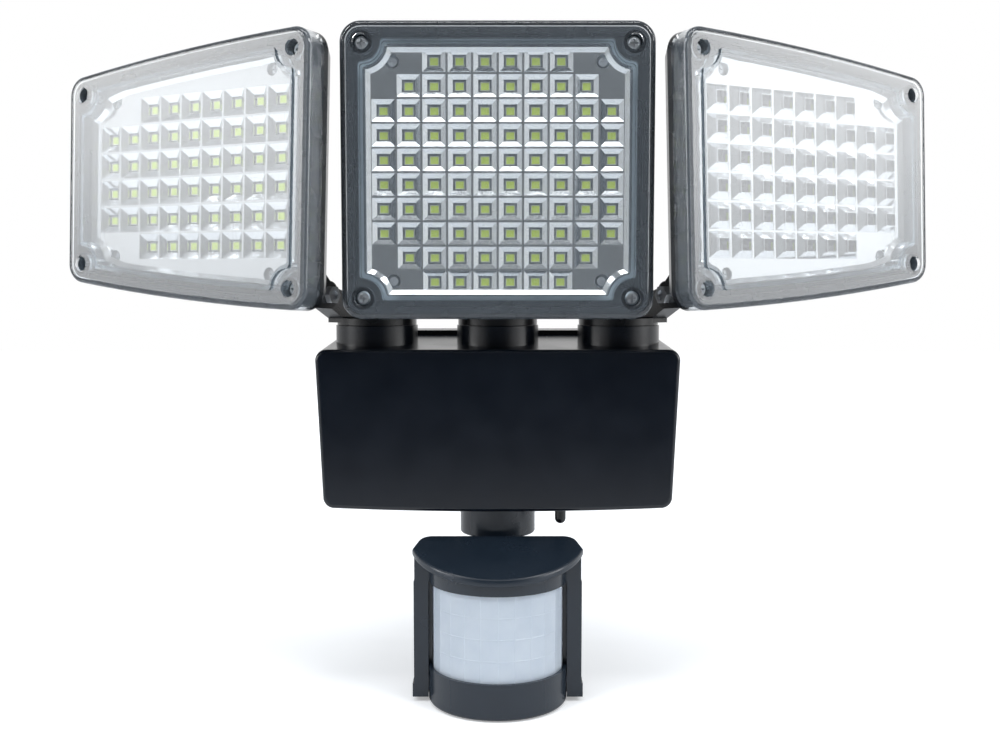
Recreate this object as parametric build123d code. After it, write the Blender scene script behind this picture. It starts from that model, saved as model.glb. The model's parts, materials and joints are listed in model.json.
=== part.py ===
from build123d import *
from dataclasses import dataclass
import math
import os

# Solar security light with three adjustable lamp heads over a battery housing and a
# motion sensor hanging below it. Millimetres. The origin lies on the wall, at the
# middle of the wall plate. The light faces -Y, +X is to its right, +Z is up.

# ---- Clearances ----
RUN_GAP = 0.3           # between faces that turn or slide past each other
PIN_GAP = 0.08          # radial, between a pivot pin or spigot and its bore
SCREW_GAP = 0.15        # radial, round a screw's shank

# ---- Wall plate ----
PLATE_W = 84.0
PLATE_H = 56.0
PLATE_T = 3.0
PLATE_CORNER = 5.0
WALL_HOLE_R = 2.25
WALL_HOLE_SPACING = 60.0
HOOK_W = 38.0
HOOK_H = 24.0
HOOK_DEPTH = 6.0        # how far the hook block reaches into the rear cover
HOOK_DROP = 14.0        # middle of the hook block below the middle of the plate
HOOK_WALL = 2.5
HOOK_CORNER = 2.0
LOCK_R = 1.5
LOCK_GRIP = 8.0         # how far the lock screw reaches into the hook block
LOCK_HEAD_T = 2.0

# ---- Housing ----
BODY_H = 64.0
BODY_SHOULDER = 6.0     # housing's top beyond the side turrets
BODY_LEAN = 3.0         # each side draws in this much from top to bottom
BODY_FRONT = 82.0       # front face, out from the wall
SPLIT = 38.0            # joint between the front shell and the rear cover
BODY_BACK = 16.0        # back of the rear cover
BODY_CORNER = 4.5
BODY_BOW = 1.6          # how far the bottom edge bows down
BODY_WALL = 2.6
BODY_EDGE = 1.6         # rounding of the front face's edge
SIDE_DRAFT = 3.0        # each side draws in this much from front to joint
TOP_RISE = 3.8          # the top climbs this much from front to joint
BODY_SEAL_T = 1.0
COVER_RIM = 2.0         # the rear cover stands proud of the shell by this
COVER_RIM_SIDE = 0.8
COVER_CORNER = 7.0
COVER_EDGE_R = 1.5
GRIP_COUNT = 3
GRIP_H = 7.0
GRIP_PITCH = 11.0
GRIP_DEPTH = 1.2
GRIP_LENGTH = 26.0
POST_R = 4.0
POST_INSET = 9.0        # posts, in from the sides at the housing's bottom
POST_Z = 20.0
POST_SINK = 3.0         # screw heads sunk into the rear cover
POST_SCREW_REACH = 10.0

# ---- Turrets that carry the lamp heads ----
TURRET_INSIDE = 9.5     # side turrets' axes, in from the centre head's edge
TURRET_OUT = 57.0       # turret axis, out from the wall
TURRET_R = 17.0
TURRET_TOP = 41.0
CAP_R = 16.5
CAP_T = 3.5
SPIGOT_R = 10.0
SPIGOT_LENGTH = 14.0
KEEPER_R = 13.0
KEEPER_T = 2.0
KEEPER_SCREW_R = 3.2
KEEPER_SCREW_T = 2.4
TONGUE_T = 8.0
KNUCKLE_R = 5.5
PIN_R = 2.0
PIN_HEAD_R = 4.0
PIN_HEAD_T = 2.4
PIN_END = 1.5           # bolt's end beyond its ears
NUT_R = 3.8
PIN_HEIGHT = 54.0       # tilt pins, above the middle of the plate
EAR_T = 3.5

# ---- What all three lamp heads share ----
HEAD_CORNER = 8.0
COVER_DEPTH = 10.0
COVER_WALL = 2.0
COVER_EDGE = 2.2
WINDOW_RAISE = 0.8
SEAL_INSET = 7.0        # from the head's edge to the sealing wall
SEAL_WALL = 1.8
NOTCH_R = 7.5           # the sealing wall's notch round each screw boss
NOTCH_EDGE = 1.5
BOSS_INSET = 8.0
BOSS_R = 4.4
BOSS_BORE_R = 3.1
BOSS_LEDGE = 3.0
COVER_SCREW_R = 1.4
COVER_SCREW_HEAD_R = 2.7
COVER_SCREW_HEAD_T = 2.0
COVER_SCREW_DEPTH = 8.0
GASKET_T = 1.0
TONGUE_WALL = 2.4       # shell's wall that stands up inside the cover's skirt
TRAY_FRONT = 2.4        # reflector's front, ahead of the shell's rim
TRAY_DEPTH = 3.5
TRAY_WALL = 1.0
TRAY_GAP = 0.3
CELL_WALL = 0.8
CELL_HOLE = 5.2
CELL_CLEAR = 10.2       # no cell's middle comes nearer to a board screw
BOARD_T = 1.6
LED_W = 3.6
LED_H = 3.3
LED_T = 0.9
BOARD_SCREW_R = 1.1
BOARD_SCREW_HEAD_R = 2.2
BOARD_SCREW_HEAD_T = 1.6
BOARD_SCREW_DEPTH = 6.0
BOARD_POST_R = 3.2
SHELL_RIM = 2.5
SHELL_FLOOR = 2.4
SHELL_EDGE = 6.0

# ---- Centre head ----
CENTRE_W = 120.0
CENTRE_H = 113.0
CENTRE_DEPTH = 19.0
CENTRE_PITCH_X = 9.8
CENTRE_PITCH_Y = 9.4
CENTRE_Z = 101.4
CENTRE_RIM_OUT = 32.0   # shell's rim, ahead of its turret axis
CENTRE_DRAFT = 26.0
CENTRE_SCREW_X = 19.5   # board screws, in from the head's edges
CENTRE_SCREW_Y = 14.5

# ---- Side heads, drawn for the left one, which has its taller end towards the middle ----
WING_L = 126.0
WING_H_INNER = 106.0
WING_H_OUTER = 83.5
WING_BOW = 1.8
WING_DEPTH = 14.0
WING_DRAFT = 33.0
WING_PITCH = 11.1
WING_SCREW_X = 22.0
WING_SCREW_Y = 13.0
WING_SOLID = 3          # columns from here inwards have no space between rows and rim
WING_Z = 101.0
WING_YAW = 29.3
WING_TILT = 2.9
WING_RIM_OUT = 51.7
WING_INNER_END = 10.0   # from the turret axis to the head's inner end
WING_TONGUE_SHIFT = 10.0
WING_PIN_BEHIND = 8.5   # tilt pin behind the shell's back

# ---- Sensor ----
NECK_OUT = 55.0         # neck's axis, out from the wall
NECK_R = 15.8
NECK_SPIGOT_R = 10.0
NECK_SPIGOT_LENGTH = 8.0
NECK_BOTTOM = -47.0
NECK_KNUCKLE_W = 14.0
SENSOR_PIN_Z = -57.0
SENSOR_KNUCKLE_R = 6.0
LENS_OUT = 82.0         # lens's axis, out from the wall
LENS_R = 26.5
LENS_T = 1.0
LENS_TOP = -61.6
LENS_BOTTOM = -95.6
LENS_TUCK = 1.4
LENS_HALF_ANGLE = 89.0
LENS_BANDS = 4
LENS_GROOVE = 0.2
CUP_R = 28.0
CUP_BOTTOM = -110.0
CUP_WALL = 2.0
HOOD_W = 68.6
HOOD_REAR_W = 62.0
HOOD_FRONT = 112.0      # hood's front edge, out from the wall
HOOD_WIDEST = 86.0
HOOD_REAR = 75.0
HOOD_FRONT_Z = -53.7
HOOD_REAR_Z = -44.5
HOOD_BOTTOM = -61.0
HOOD_T = 2.6
HOOD_WALL = 2.2
HOOD_EDGE = 1.2
HOOD_CORNER = 6.0
FIN_FRONT = 86.0
FIN_BACK = 66.0
FIN_T = 5.6
FIN_BOTTOM = -108.6
FIN_STEP = 0.6
FIN_STEP_Z = -103.0
CASE_BACK = 60.0
CASE_W = 58.0
FIN_LAP = 1.0           # fins run this far into the case's sides
CASE_BOTTOM = -104.0
CASE_WALL = 2.4
CASE_CORNER = 6.0
SENSOR_EAR_T = 4.0
PIR_BOARD_W = 40.0
PIR_BOARD_H = 30.0
PIR_BEHIND = 4.0        # board's face behind the lens's axis
PIR_POST_R = 2.5
DIAL_R = 3.6
DIAL_T = 3.0
DIAL_PITCH = 11.0
DIAL_OUT = 86.0

# ---- Switch and socket under the housing ----
SWITCH_X = 26.0
SWITCH_OUT = 68.0
LEVER_R = 2.25
LEVER_TIP = -41.0
LEVER_PIVOT = -30.5
LEVER_BALL_R = 2.9
LEVER_THROW = 12.0
BUSH_R = 4.0
SWITCH_W = 13.0
SWITCH_D = 8.0
SWITCH_H = 12.0
SOCKET_X = -24.0
SOCKET_OUT = 60.0
SOCKET_R = 5.5
SOCKET_BORE_R = 1.8
SOCKET_FLANGE = 1.5
SOCKET_REACH = 3.0      # how far the lead's gland stands below the floor

# ---- Battery and boards ----
CELL_R = 9.2
CELL_L = 65.0
CELL_Z = 3.0
CELL_PITCH = 19.4
MAIN_BOARD_W = 96.0
MAIN_BOARD_H = 26.0
MAIN_BOARD_OUT = 26.0   # back of the board, out from the wall
MAIN_BOARD_Z = 13.0
BOARD_POST_X = 42.0


BODY_FLOOR = -BODY_H / 2 - BODY_BOW     # lowest line of the housing's underside
NECK_TOP = BODY_FLOOR - RUN_GAP
TURRET_X = CENTRE_W / 2 - TURRET_INSIDE
BODY_W_TOP = 2 * (TURRET_X + TURRET_R + BODY_SHOULDER)
BODY_W_BOTTOM = BODY_W_TOP - 2 * BODY_LEAN
POST_X = BODY_W_BOTTOM / 2 - POST_INSET
TRAY_INSET = SEAL_INSET + SEAL_WALL + TRAY_GAP      # from the head's edge to the reflector


@dataclass
class Head:
    """Sizes of one lamp head, in its own frame: x across, y up, z out of its face."""
    length: float
    inner_h: float
    outer_h: float
    bow: float
    depth: float
    draft: float
    pitch_x: float
    pitch_y: float
    screw_x: float          # board screws, in from the head's edges
    screw_y: float
    solid_from: int         # no space between rows and rim from this column inwards
    pin_x: float
    pin_y: float
    pin_z: float


def half_height(head, x):
    """Half of the head's height at x, along its straight taper and its bow."""
    share = (x + head.length / 2) / head.length
    straight = (head.outer_h + (head.inner_h - head.outer_h) * share) / 2
    return straight + head.bow * (1 - (2 * x / head.length) ** 2)


def outline(head, inset=0.0):
    """The head's face, drawn in from its edge by an inset."""
    end = head.length / 2
    inner, outer = head.inner_h / 2, head.outer_h / 2
    crown = half_height(head, 0)
    with BuildSketch() as drawing:
        with BuildLine():
            if head.bow > 0:
                ThreePointArc((end, inner), (0, crown), (-end, outer))
                Line((-end, outer), (-end, -outer))
                ThreePointArc((-end, -outer), (0, -crown), (end, -inner))
                Line((end, -inner), (end, inner))
            else:
                Polyline((end, inner), (-end, outer), (-end, -outer), (end, -inner), close=True)
        make_face()
    face = drawing.sketch
    if inset > 0:
        face = offset(face, amount=-inset, kind=Kind.INTERSECTION)
    corner = HEAD_CORNER - inset
    if corner > 0.5:
        face = fillet(face.vertices(), corner)
    return face


def boss_centres(head):
    """Where the four cover screws stand."""
    x = head.length / 2 - BOSS_INSET
    centres = []
    for side in (-1, 1):
        y = half_height(head, side * x) - BOSS_INSET
        centres += [(side * x, y), (side * x, -y)]
    return centres


def notched(head, inset):
    """The outline drawn in past the screws, with a round notch at each of them."""
    face = outline(head, inset)
    for x, y in boss_centres(head):
        face -= Pos(x, y) * Circle(NOTCH_R + inset - SEAL_INSET)
    return fillet(face.vertices(), NOTCH_EDGE)


def slab(face, low, high):
    """A flat face made into a solid between two heights."""
    return Pos(0, 0, low) * extrude(face, amount=high - low, dir=(0, 0, 1))


def rod(radius, low, high, x=0.0, y=0.0):
    """A round rod or hole along z."""
    return Pos(x, y, (low + high) / 2) * Cylinder(radius, high - low)


def board_screw_centres(head):
    """Where the four screws of the LED board stand."""
    x = head.length / 2 - head.screw_x
    centres = []
    for side in (-1, 1):
        y = half_height(head, side * x) - head.screw_y
        centres += [(side * x, y), (side * x, -y)]
    return centres


def cell_columns(head):
    """As many columns of cells as the reflector's length takes."""
    count = math.floor((head.length - 2 * TRAY_INSET + CELL_WALL) / head.pitch_x)
    return [(index - (count - 1) / 2) * head.pitch_x for index in range(count)]


def cell_rows(head):
    """As many rows of cells as the reflector's height takes at its middle."""
    count = math.floor((2 * half_height(head, 0) - 2 * TRAY_INSET + CELL_WALL) / head.pitch_y)
    return [((count - 1) / 2 - index) * head.pitch_y for index in range(count)]


def cell_centres(head):
    """Where the LEDs stand, row by row from the top, clear of the board screws and the rim."""
    screws = board_screw_centres(head)
    centres = []
    for y in cell_rows(head):
        for x in cell_columns(head):
            near_screw = min(math.dist((x, y), screw) for screw in screws) < CELL_CLEAR
            room = half_height(head, x - head.pitch_x / 2) - TRAY_INSET + CELL_WALL / 2
            if not near_screw and abs(y) + head.pitch_y / 2 < room:
                centres.append((x, y))
    return centres


def clear_cover(head):
    """Deep clear cover: skirt, raised window, sealing wall inside and four screw bosses."""
    front = COVER_DEPTH - WINDOW_RAISE
    skirt = slab(outline(head), 0, front)
    skirt = fillet(skirt.faces().sort_by(Axis.Z)[-1].edges(), COVER_EDGE)
    cover = skirt + slab(notched(head, SEAL_INSET), front - COVER_EDGE, COVER_DEPTH)
    hollow = slab(outline(head, COVER_WALL), -1, front - COVER_WALL)
    hollow -= slab(notched(head, SEAL_INSET), -1, front)
    for x, y in boss_centres(head):
        hollow -= rod(BOSS_R, -1, front, x, y)
    inside = notched(head, SEAL_INSET + SEAL_WALL)
    cover -= hollow
    cover -= slab(inside, -1, COVER_DEPTH - COVER_WALL)
    for x, y in boss_centres(head):
        cover -= rod(BOSS_BORE_R, BOSS_LEDGE, COVER_DEPTH + 1, x, y)
        cover -= rod(COVER_SCREW_R + SCREW_GAP, -1, BOSS_LEDGE + 1, x, y)
    return cover


def cover_screws(head):
    """Four screws down the cover's bosses into the shell."""
    return Compound(children=[
        rod(COVER_SCREW_HEAD_R, BOSS_LEDGE, BOSS_LEDGE + COVER_SCREW_HEAD_T, x, y)
        + rod(COVER_SCREW_R, -COVER_SCREW_DEPTH, BOSS_LEDGE, x, y)
        for x, y in boss_centres(head)
    ])


def gasket(head):
    """Seal in the shell's step, under the cover's sealing wall."""
    ring = notched(head, SEAL_INSET + 0.1) - notched(head, SEAL_INSET + SEAL_WALL + 0.1)
    return slab(ring, -GASKET_T, 0)


def reflector(head):
    """Mirror tray with a tapered square cell round each LED."""
    low, high = TRAY_FRONT - TRAY_DEPTH, TRAY_FRONT
    tray = slab(notched(head, TRAY_INSET), low, high)
    field = Sketch()
    for x, y in cell_centres(head):
        field += Pos(x, y) * Rectangle(head.pitch_x + CELL_WALL, head.pitch_y + CELL_WALL)
    for x in cell_columns(head)[head.solid_from:]:
        field += Pos(x, 0) * Rectangle(head.pitch_x + CELL_WALL, head.inner_h)
    pockets = notched(head, TRAY_INSET + TRAY_WALL) - field
    tray -= slab(pockets, low - 1, high + 1)
    for x, y in board_screw_centres(head):
        tray -= rod(BOARD_SCREW_HEAD_R + RUN_GAP, low - 1, high + 1, x, y)
    overrun = 0.5
    slope_x = (head.pitch_x - CELL_WALL - CELL_HOLE) / TRAY_DEPTH
    slope_y = (head.pitch_y - CELL_WALL - CELL_HOLE) / TRAY_DEPTH
    bottom = Rectangle(CELL_HOLE - overrun * slope_x, CELL_HOLE - overrun * slope_y)
    reach = TRAY_DEPTH + overrun
    top = Rectangle(CELL_HOLE + reach * slope_x, CELL_HOLE + reach * slope_y)
    cell = loft([Pos(0, 0, low - overrun) * bottom, Pos(0, 0, high + overrun) * top])
    tray -= [Pos(x, y, 0) * cell for x, y in cell_centres(head)]
    return tray


def led_board(head):
    """Flat circuit board behind the reflector."""
    top = TRAY_FRONT - TRAY_DEPTH
    board = slab(notched(head, TRAY_INSET), top - BOARD_T, top)
    for x, y in board_screw_centres(head):
        board -= rod(BOARD_SCREW_R + SCREW_GAP, top - BOARD_T - 1, top + 1, x, y)
    return board


def leds(head):
    """One flat LED package in each cell."""
    low = TRAY_FRONT - TRAY_DEPTH
    package = Pos(0, 0, low + LED_T / 2) * Box(LED_W, LED_H, LED_T)
    return Compound(children=[Pos(x, y, 0) * package for x, y in cell_centres(head)])


def board_screws(head):
    """Screws that hold the LED board to the shell's posts."""
    top = TRAY_FRONT - TRAY_DEPTH
    bottom = top - BOARD_T - BOARD_SCREW_DEPTH
    return Compound(children=[
        rod(BOARD_SCREW_HEAD_R, top, top + BOARD_SCREW_HEAD_T, x, y)
        + rod(BOARD_SCREW_R, bottom, top, x, y)
        for x, y in board_screw_centres(head)
    ])


def rear_shell(head):
    """Tapered back of the head, with posts for the board and two ears for the tilt pin."""
    back = -head.depth
    rim = slab(outline(head), -SHELL_RIM, 0)
    taper = extrude(Pos(0, 0, -SHELL_RIM) * outline(head), amount=head.depth - SHELL_RIM,
                    dir=(0, 0, -1), taper=head.draft)
    taper = fillet(taper.faces().sort_by(Axis.Z)[0].edges(), SHELL_EDGE)
    shell = rim + taper
    shell += ears(head)
    cavity_inset = SEAL_INSET + SEAL_WALL + 0.2
    shell -= slab(notched(head, cavity_inset), back + SHELL_FLOOR, 1)
    shell -= slab(notched(head, SEAL_INSET), -GASKET_T, 1)
    shell += shell_tongue(head)
    post_top = TRAY_FRONT - TRAY_DEPTH - BOARD_T
    for x, y in board_screw_centres(head):
        shell += rod(BOARD_POST_R, back + SHELL_FLOOR - 0.5, post_top, x, y)
    for x, y in board_screw_centres(head):
        shell -= rod(BOARD_SCREW_R + SCREW_GAP, post_top - BOARD_SCREW_DEPTH - 1,
                     post_top + 1, x, y)
    for x, y in boss_centres(head):
        shell -= rod(COVER_SCREW_R + SCREW_GAP, -COVER_SCREW_DEPTH - 1, 1, x, y)
    return shell


def shell_tongue(head):
    """Wall that stands up from the shell's rim inside the cover's skirt, clear of its bosses."""
    outer = COVER_WALL + RUN_GAP
    high = COVER_DEPTH - WINDOW_RAISE - COVER_WALL - RUN_GAP
    wall = slab(outline(head, outer) - outline(head, outer + TONGUE_WALL), -0.5, high)
    for x, y in boss_centres(head):
        wall -= rod(BOSS_R + RUN_GAP, 0, COVER_DEPTH, x, y)
    return wall


def ears(head):
    """Two plates behind the shell that the tilt pin passes through."""
    root = -head.depth + SHELL_FLOOR - 0.5
    with BuildSketch(Plane.YZ) as side:
        with BuildLine():
            Polyline(
                (head.pin_y - KNUCKLE_R, head.pin_z),
                (head.pin_y - KNUCKLE_R, root),
                (head.pin_y + 2.6 * KNUCKLE_R, root),
                (head.pin_y + KNUCKLE_R, head.pin_z),
            )
            ThreePointArc(
                (head.pin_y + KNUCKLE_R, head.pin_z),
                (head.pin_y, head.pin_z - KNUCKLE_R),
                (head.pin_y - KNUCKLE_R, head.pin_z),
            )
        make_face()
    plate = extrude(side.sketch, amount=EAR_T, dir=(1, 0, 0))
    gap = TONGUE_T / 2 + RUN_GAP
    pair = Pos(head.pin_x + gap, 0, 0) * plate + Pos(head.pin_x - gap - EAR_T, 0, 0) * plate
    bore = Cylinder(PIN_R + PIN_GAP, 4 * TONGUE_T, rotation=(0, 90, 0))
    return pair - Pos(head.pin_x, head.pin_y, head.pin_z) * bore


def cross_bolt(half, place):
    """Bolt along x through ears whose outer faces lie half away on each side, with its nut."""
    bolt = Cylinder(PIN_R, 2 * (half + PIN_END), rotation=(0, 90, 0))
    bolt += Pos(-half - PIN_HEAD_T / 2, 0, 0) * Cylinder(
        PIN_HEAD_R, PIN_HEAD_T, rotation=(0, 90, 0))
    nut = Pos(half, 0, 0) * Rot(0, 90, 0) * extrude(
        RegularPolygon(NUT_R, 6) - Circle(PIN_R), amount=PIN_HEAD_T)
    return Compound(children=[place * bolt, place * nut])


def tilt_pin(head):
    """Pivot bolt across the ears, with its head on one side and its nut on the other."""
    half = TONGUE_T / 2 + RUN_GAP + EAR_T
    return cross_bolt(half, Pos(head.pin_x, head.pin_y, head.pin_z))


def swivel_arm(reach, shift):
    """Cap that turns on the turret, its spigot, and the tongue that carries the tilt pin.

    Drawn round the turret's axis, with the head towards -Y."""
    arm = rod(CAP_R, TURRET_TOP + RUN_GAP, TURRET_TOP + RUN_GAP + CAP_T)
    arm = fillet(arm.faces().sort_by(Axis.Z)[-1].edges(), 0.8)
    arm += rod(SPIGOT_R, TURRET_TOP - SPIGOT_LENGTH, TURRET_TOP + RUN_GAP + 1)
    base = TURRET_TOP + RUN_GAP + 1
    back = KNUCKLE_R + 1.5
    with BuildSketch(Plane.YZ) as side:
        with BuildLine():
            if reach > 0:
                Polyline(
                    (-reach - KNUCKLE_R, PIN_HEIGHT),
                    (-CAP_R + 1.5, TURRET_TOP + RUN_GAP + CAP_T - 0.8),
                    (-CAP_R + 1.5, base),
                    (back, base),
                    (back, PIN_HEIGHT - KNUCKLE_R),
                    (-reach, PIN_HEIGHT + KNUCKLE_R),
                )
            else:
                Polyline(
                    (-KNUCKLE_R, PIN_HEIGHT),
                    (-KNUCKLE_R, base),
                    (KNUCKLE_R, base),
                    (KNUCKLE_R, PIN_HEIGHT),
                    (0, PIN_HEIGHT + KNUCKLE_R),
                )
            ThreePointArc(
                (-reach, PIN_HEIGHT + KNUCKLE_R),
                (-reach - KNUCKLE_R * math.sin(math.pi / 4),
                 PIN_HEIGHT + KNUCKLE_R * math.cos(math.pi / 4)),
                (-reach - KNUCKLE_R, PIN_HEIGHT),
            )
        make_face()
    tongue = extrude(side.sketch, amount=TONGUE_T, dir=(1, 0, 0))
    arm += Pos(shift - TONGUE_T / 2, 0, 0) * tongue
    bore = Cylinder(PIN_R + PIN_GAP, 4 * TONGUE_T, rotation=(0, 90, 0))
    return arm - Pos(shift, -reach, PIN_HEIGHT) * bore


def swivel_keeper():
    """Washer and screw under the turret that keep the spigot in its bore."""
    top = TURRET_TOP - SPIGOT_LENGTH
    washer = rod(KEEPER_R, top - KEEPER_T, top)
    return washer + rod(KEEPER_SCREW_R, top - KEEPER_T - KEEPER_SCREW_T, top - KEEPER_T)


# ---- Placing the heads ----
CENTRE = Head(
    length=CENTRE_W, inner_h=CENTRE_H, outer_h=CENTRE_H, bow=0.0, depth=CENTRE_DEPTH,
    draft=CENTRE_DRAFT, pitch_x=CENTRE_PITCH_X, pitch_y=CENTRE_PITCH_Y,
    screw_x=CENTRE_SCREW_X, screw_y=CENTRE_SCREW_Y, solid_from=99,
    pin_x=0.0, pin_y=PIN_HEIGHT - CENTRE_Z, pin_z=-CENTRE_RIM_OUT,
)

WING_PIN_Z = -WING_DEPTH - WING_PIN_BEHIND
WING_PIN_Y = -((WING_Z - PIN_HEIGHT) + WING_PIN_Z * math.sin(math.radians(WING_TILT)))
WING = Head(
    length=WING_L, inner_h=WING_H_INNER, outer_h=WING_H_OUTER, bow=WING_BOW, depth=WING_DEPTH,
    draft=WING_DRAFT, pitch_x=WING_PITCH, pitch_y=WING_PITCH,
    screw_x=WING_SCREW_X, screw_y=WING_SCREW_Y, solid_from=WING_SOLID - 1,
    pin_x=WING_L / 2 - WING_INNER_END - WING_TONGUE_SHIFT, pin_y=WING_PIN_Y, pin_z=WING_PIN_Z,
)
WING_REACH = WING_RIM_OUT + WING_PIN_Z


def centre_place():
    """The centre head's own frame, in the light's frame."""
    return Plane(origin=(0, -TURRET_OUT - CENTRE_RIM_OUT, CENTRE_Z),
                 x_dir=(1, 0, 0), z_dir=(0, -1, 0)).location


def wing_place():
    """The left head's own frame: swung out, tipped up a little, on its tilt pin."""
    swing = Pos(-TURRET_X, -TURRET_OUT, 0) * Rot(0, 0, -WING_YAW)
    pin = Pos(-WING_TONGUE_SHIFT, -WING_REACH, PIN_HEIGHT)
    tip = Rot(-WING_TILT, 0, 0)
    upright = Plane(origin=(0, 0, 0), x_dir=(1, 0, 0), z_dir=(0, -1, 0)).location
    return swing * pin * tip * upright * Pos(-WING.pin_x, -WING.pin_y, -WING.pin_z)


def head_parts(head, place):
    """Every piece that tilts with one head."""
    makers = {
        "rear_shell": rear_shell, "led_board": led_board, "leds": leds,
        "reflector": reflector, "gasket": gasket, "clear_cover": clear_cover,
        "cover_screws": cover_screws, "board_screws": board_screws, "tilt_pin": tilt_pin,
    }
    return {name: place * make(head) for name, make in makers.items()}


# ---- Housing ----
def body_section(out, grow_side=0.0, grow_top=0.0, corner=BODY_CORNER):
    """The housing's outline seen from the front, at a distance out from the wall."""
    share = (BODY_FRONT - out) / (BODY_FRONT - SPLIT)
    top = BODY_H / 2 + TOP_RISE * share + grow_top
    bottom = -BODY_H / 2 - grow_top
    half_top = BODY_W_TOP / 2 - SIDE_DRAFT * share + grow_side
    half_bottom = BODY_W_BOTTOM / 2 - SIDE_DRAFT * share + grow_side
    plane = Plane(origin=(0, -out, 0), x_dir=(1, 0, 0), z_dir=(0, -1, 0))
    with BuildSketch(plane) as drawing:
        with BuildLine():
            Polyline((half_bottom, bottom), (half_top, top), (-half_top, top),
                     (-half_bottom, bottom))
            ThreePointArc((-half_bottom, bottom), (0, bottom - BODY_BOW), (half_bottom, bottom))
        make_face()
        fillet(drawing.vertices(), corner)
    return drawing.sketch


def housing_shell():
    """Front shell: tapered box with side grips, three turret bodies and corner posts."""
    shell = loft([body_section(BODY_FRONT), body_section(SPLIT)])
    shell = fillet(shell.faces().sort_by(Axis.Y)[0].edges(), BODY_EDGE)
    inner_corner = max(BODY_CORNER - BODY_WALL, 1.0)
    shell -= loft([
        body_section(BODY_FRONT - BODY_WALL, -BODY_WALL, -BODY_WALL, inner_corner),
        body_section(SPLIT - 0.001, -BODY_WALL, -BODY_WALL, inner_corner),
    ])
    turret_bottom = TURRET_TOP - SPIGOT_LENGTH + RUN_GAP
    for x in (-TURRET_X, 0, TURRET_X):
        shell += Pos(x, -TURRET_OUT, 0) * rod(TURRET_R, turret_bottom, TURRET_TOP)
    for x in (-TURRET_X, 0, TURRET_X):
        shell -= Pos(x, -TURRET_OUT, 0) * rod(SPIGOT_R + PIN_GAP, 0, TURRET_TOP + 1)
    shell += Pos(0, -NECK_OUT, 0) * rod(
        KEEPER_R, BODY_FLOOR + BODY_WALL / 2, NECK_TOP + NECK_SPIGOT_LENGTH - RUN_GAP)
    shell -= Pos(0, -NECK_OUT, 0) * rod(NECK_SPIGOT_R + PIN_GAP, -BODY_H, 0)
    shell += body_posts(SPLIT, BODY_FRONT - BODY_WALL / 2)
    shell -= body_post_holes(SPLIT - 1, SPLIT + POST_SCREW_REACH + 2, COVER_SCREW_R + SCREW_GAP)
    shell -= side_grips()
    shell -= Pos(SWITCH_X, -SWITCH_OUT, 0) * rod(BUSH_R + SCREW_GAP, -BODY_H, 0)
    shell -= Pos(SOCKET_X, -SOCKET_OUT, 0) * rod(SOCKET_R + SCREW_GAP, -BODY_H, 0)
    return shell


def along_y(radius, near, far, x, z):
    """A round rod or hole along Y, between two distances out from the wall."""
    return Pos(x, -(near + far) / 2, z) * Cylinder(radius, abs(far - near), rotation=(90, 0, 0))


def body_posts(near, far):
    """Four screw posts inside the shell."""
    return [along_y(POST_R, near, far, x, z) for x in (-POST_X, POST_X) for z in (-POST_Z, POST_Z)]


def body_post_holes(near, far, radius):
    """Screw holes on the axes of the posts."""
    return [along_y(radius, near, far, x, z) for x in (-POST_X, POST_X) for z in (-POST_Z, POST_Z)]


def side_grips():
    """Shallow ribbed finger grips down both sides."""
    mid = (BODY_FRONT + SPLIT) / 2
    grips = []
    for side in (-1, 1):
        for index in range(GRIP_COUNT):
            z = ((GRIP_COUNT - 1) / 2 - index) * GRIP_PITCH - 6
            share = (z + BODY_H / 2) / BODY_H
            surface = (BODY_W_BOTTOM + (BODY_W_TOP - BODY_W_BOTTOM) * share) / 2 - SIDE_DRAFT / 2
            grip = Box(4 * GRIP_DEPTH, GRIP_LENGTH, GRIP_H)
            grip = fillet(grip.edges().filter_by(Axis.Y), GRIP_DEPTH)
            lean = math.degrees(math.atan(SIDE_DRAFT / (BODY_FRONT - SPLIT)))
            place = Pos(side * (surface + GRIP_DEPTH), -mid, z) * Rot(0, 0, side * lean)
            grips.append(place * grip)
    return grips


def floor_inside(x):
    """Height of the floor's inner face at x, clear of its bow."""
    half = BODY_W_BOTTOM / 2 - SIDE_DRAFT - BODY_WALL
    return -BODY_H / 2 + BODY_WALL - BODY_BOW * (1 - (x / half) ** 2) + RUN_GAP


def ring_section(out, outer, inner):
    """A seam outline between two insets from the housing's edge."""
    wide = body_section(out, -outer, -outer, max(BODY_CORNER - outer, 1.0))
    narrow = body_section(out, -inner, -inner, max(BODY_CORNER - inner, 0.8))
    return wide - narrow


def housing_gasket():
    """Seal between the front shell and the rear cover."""
    ring = ring_section(SPLIT, 0.6, BODY_WALL)
    return extrude(ring, amount=BODY_SEAL_T, dir=(0, 1, 0))


def hook_pocket(grow):
    """The block that fills the rear cover's hook pocket, grown by a gap or a wall."""
    deep = HOOK_DEPTH + RUN_GAP + grow
    return Pos(0, -BODY_BACK - deep / 2, -HOOK_DROP) * Box(
        HOOK_W + 2 * (RUN_GAP + grow), deep, HOOK_H + 2 * (RUN_GAP + grow))


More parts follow.
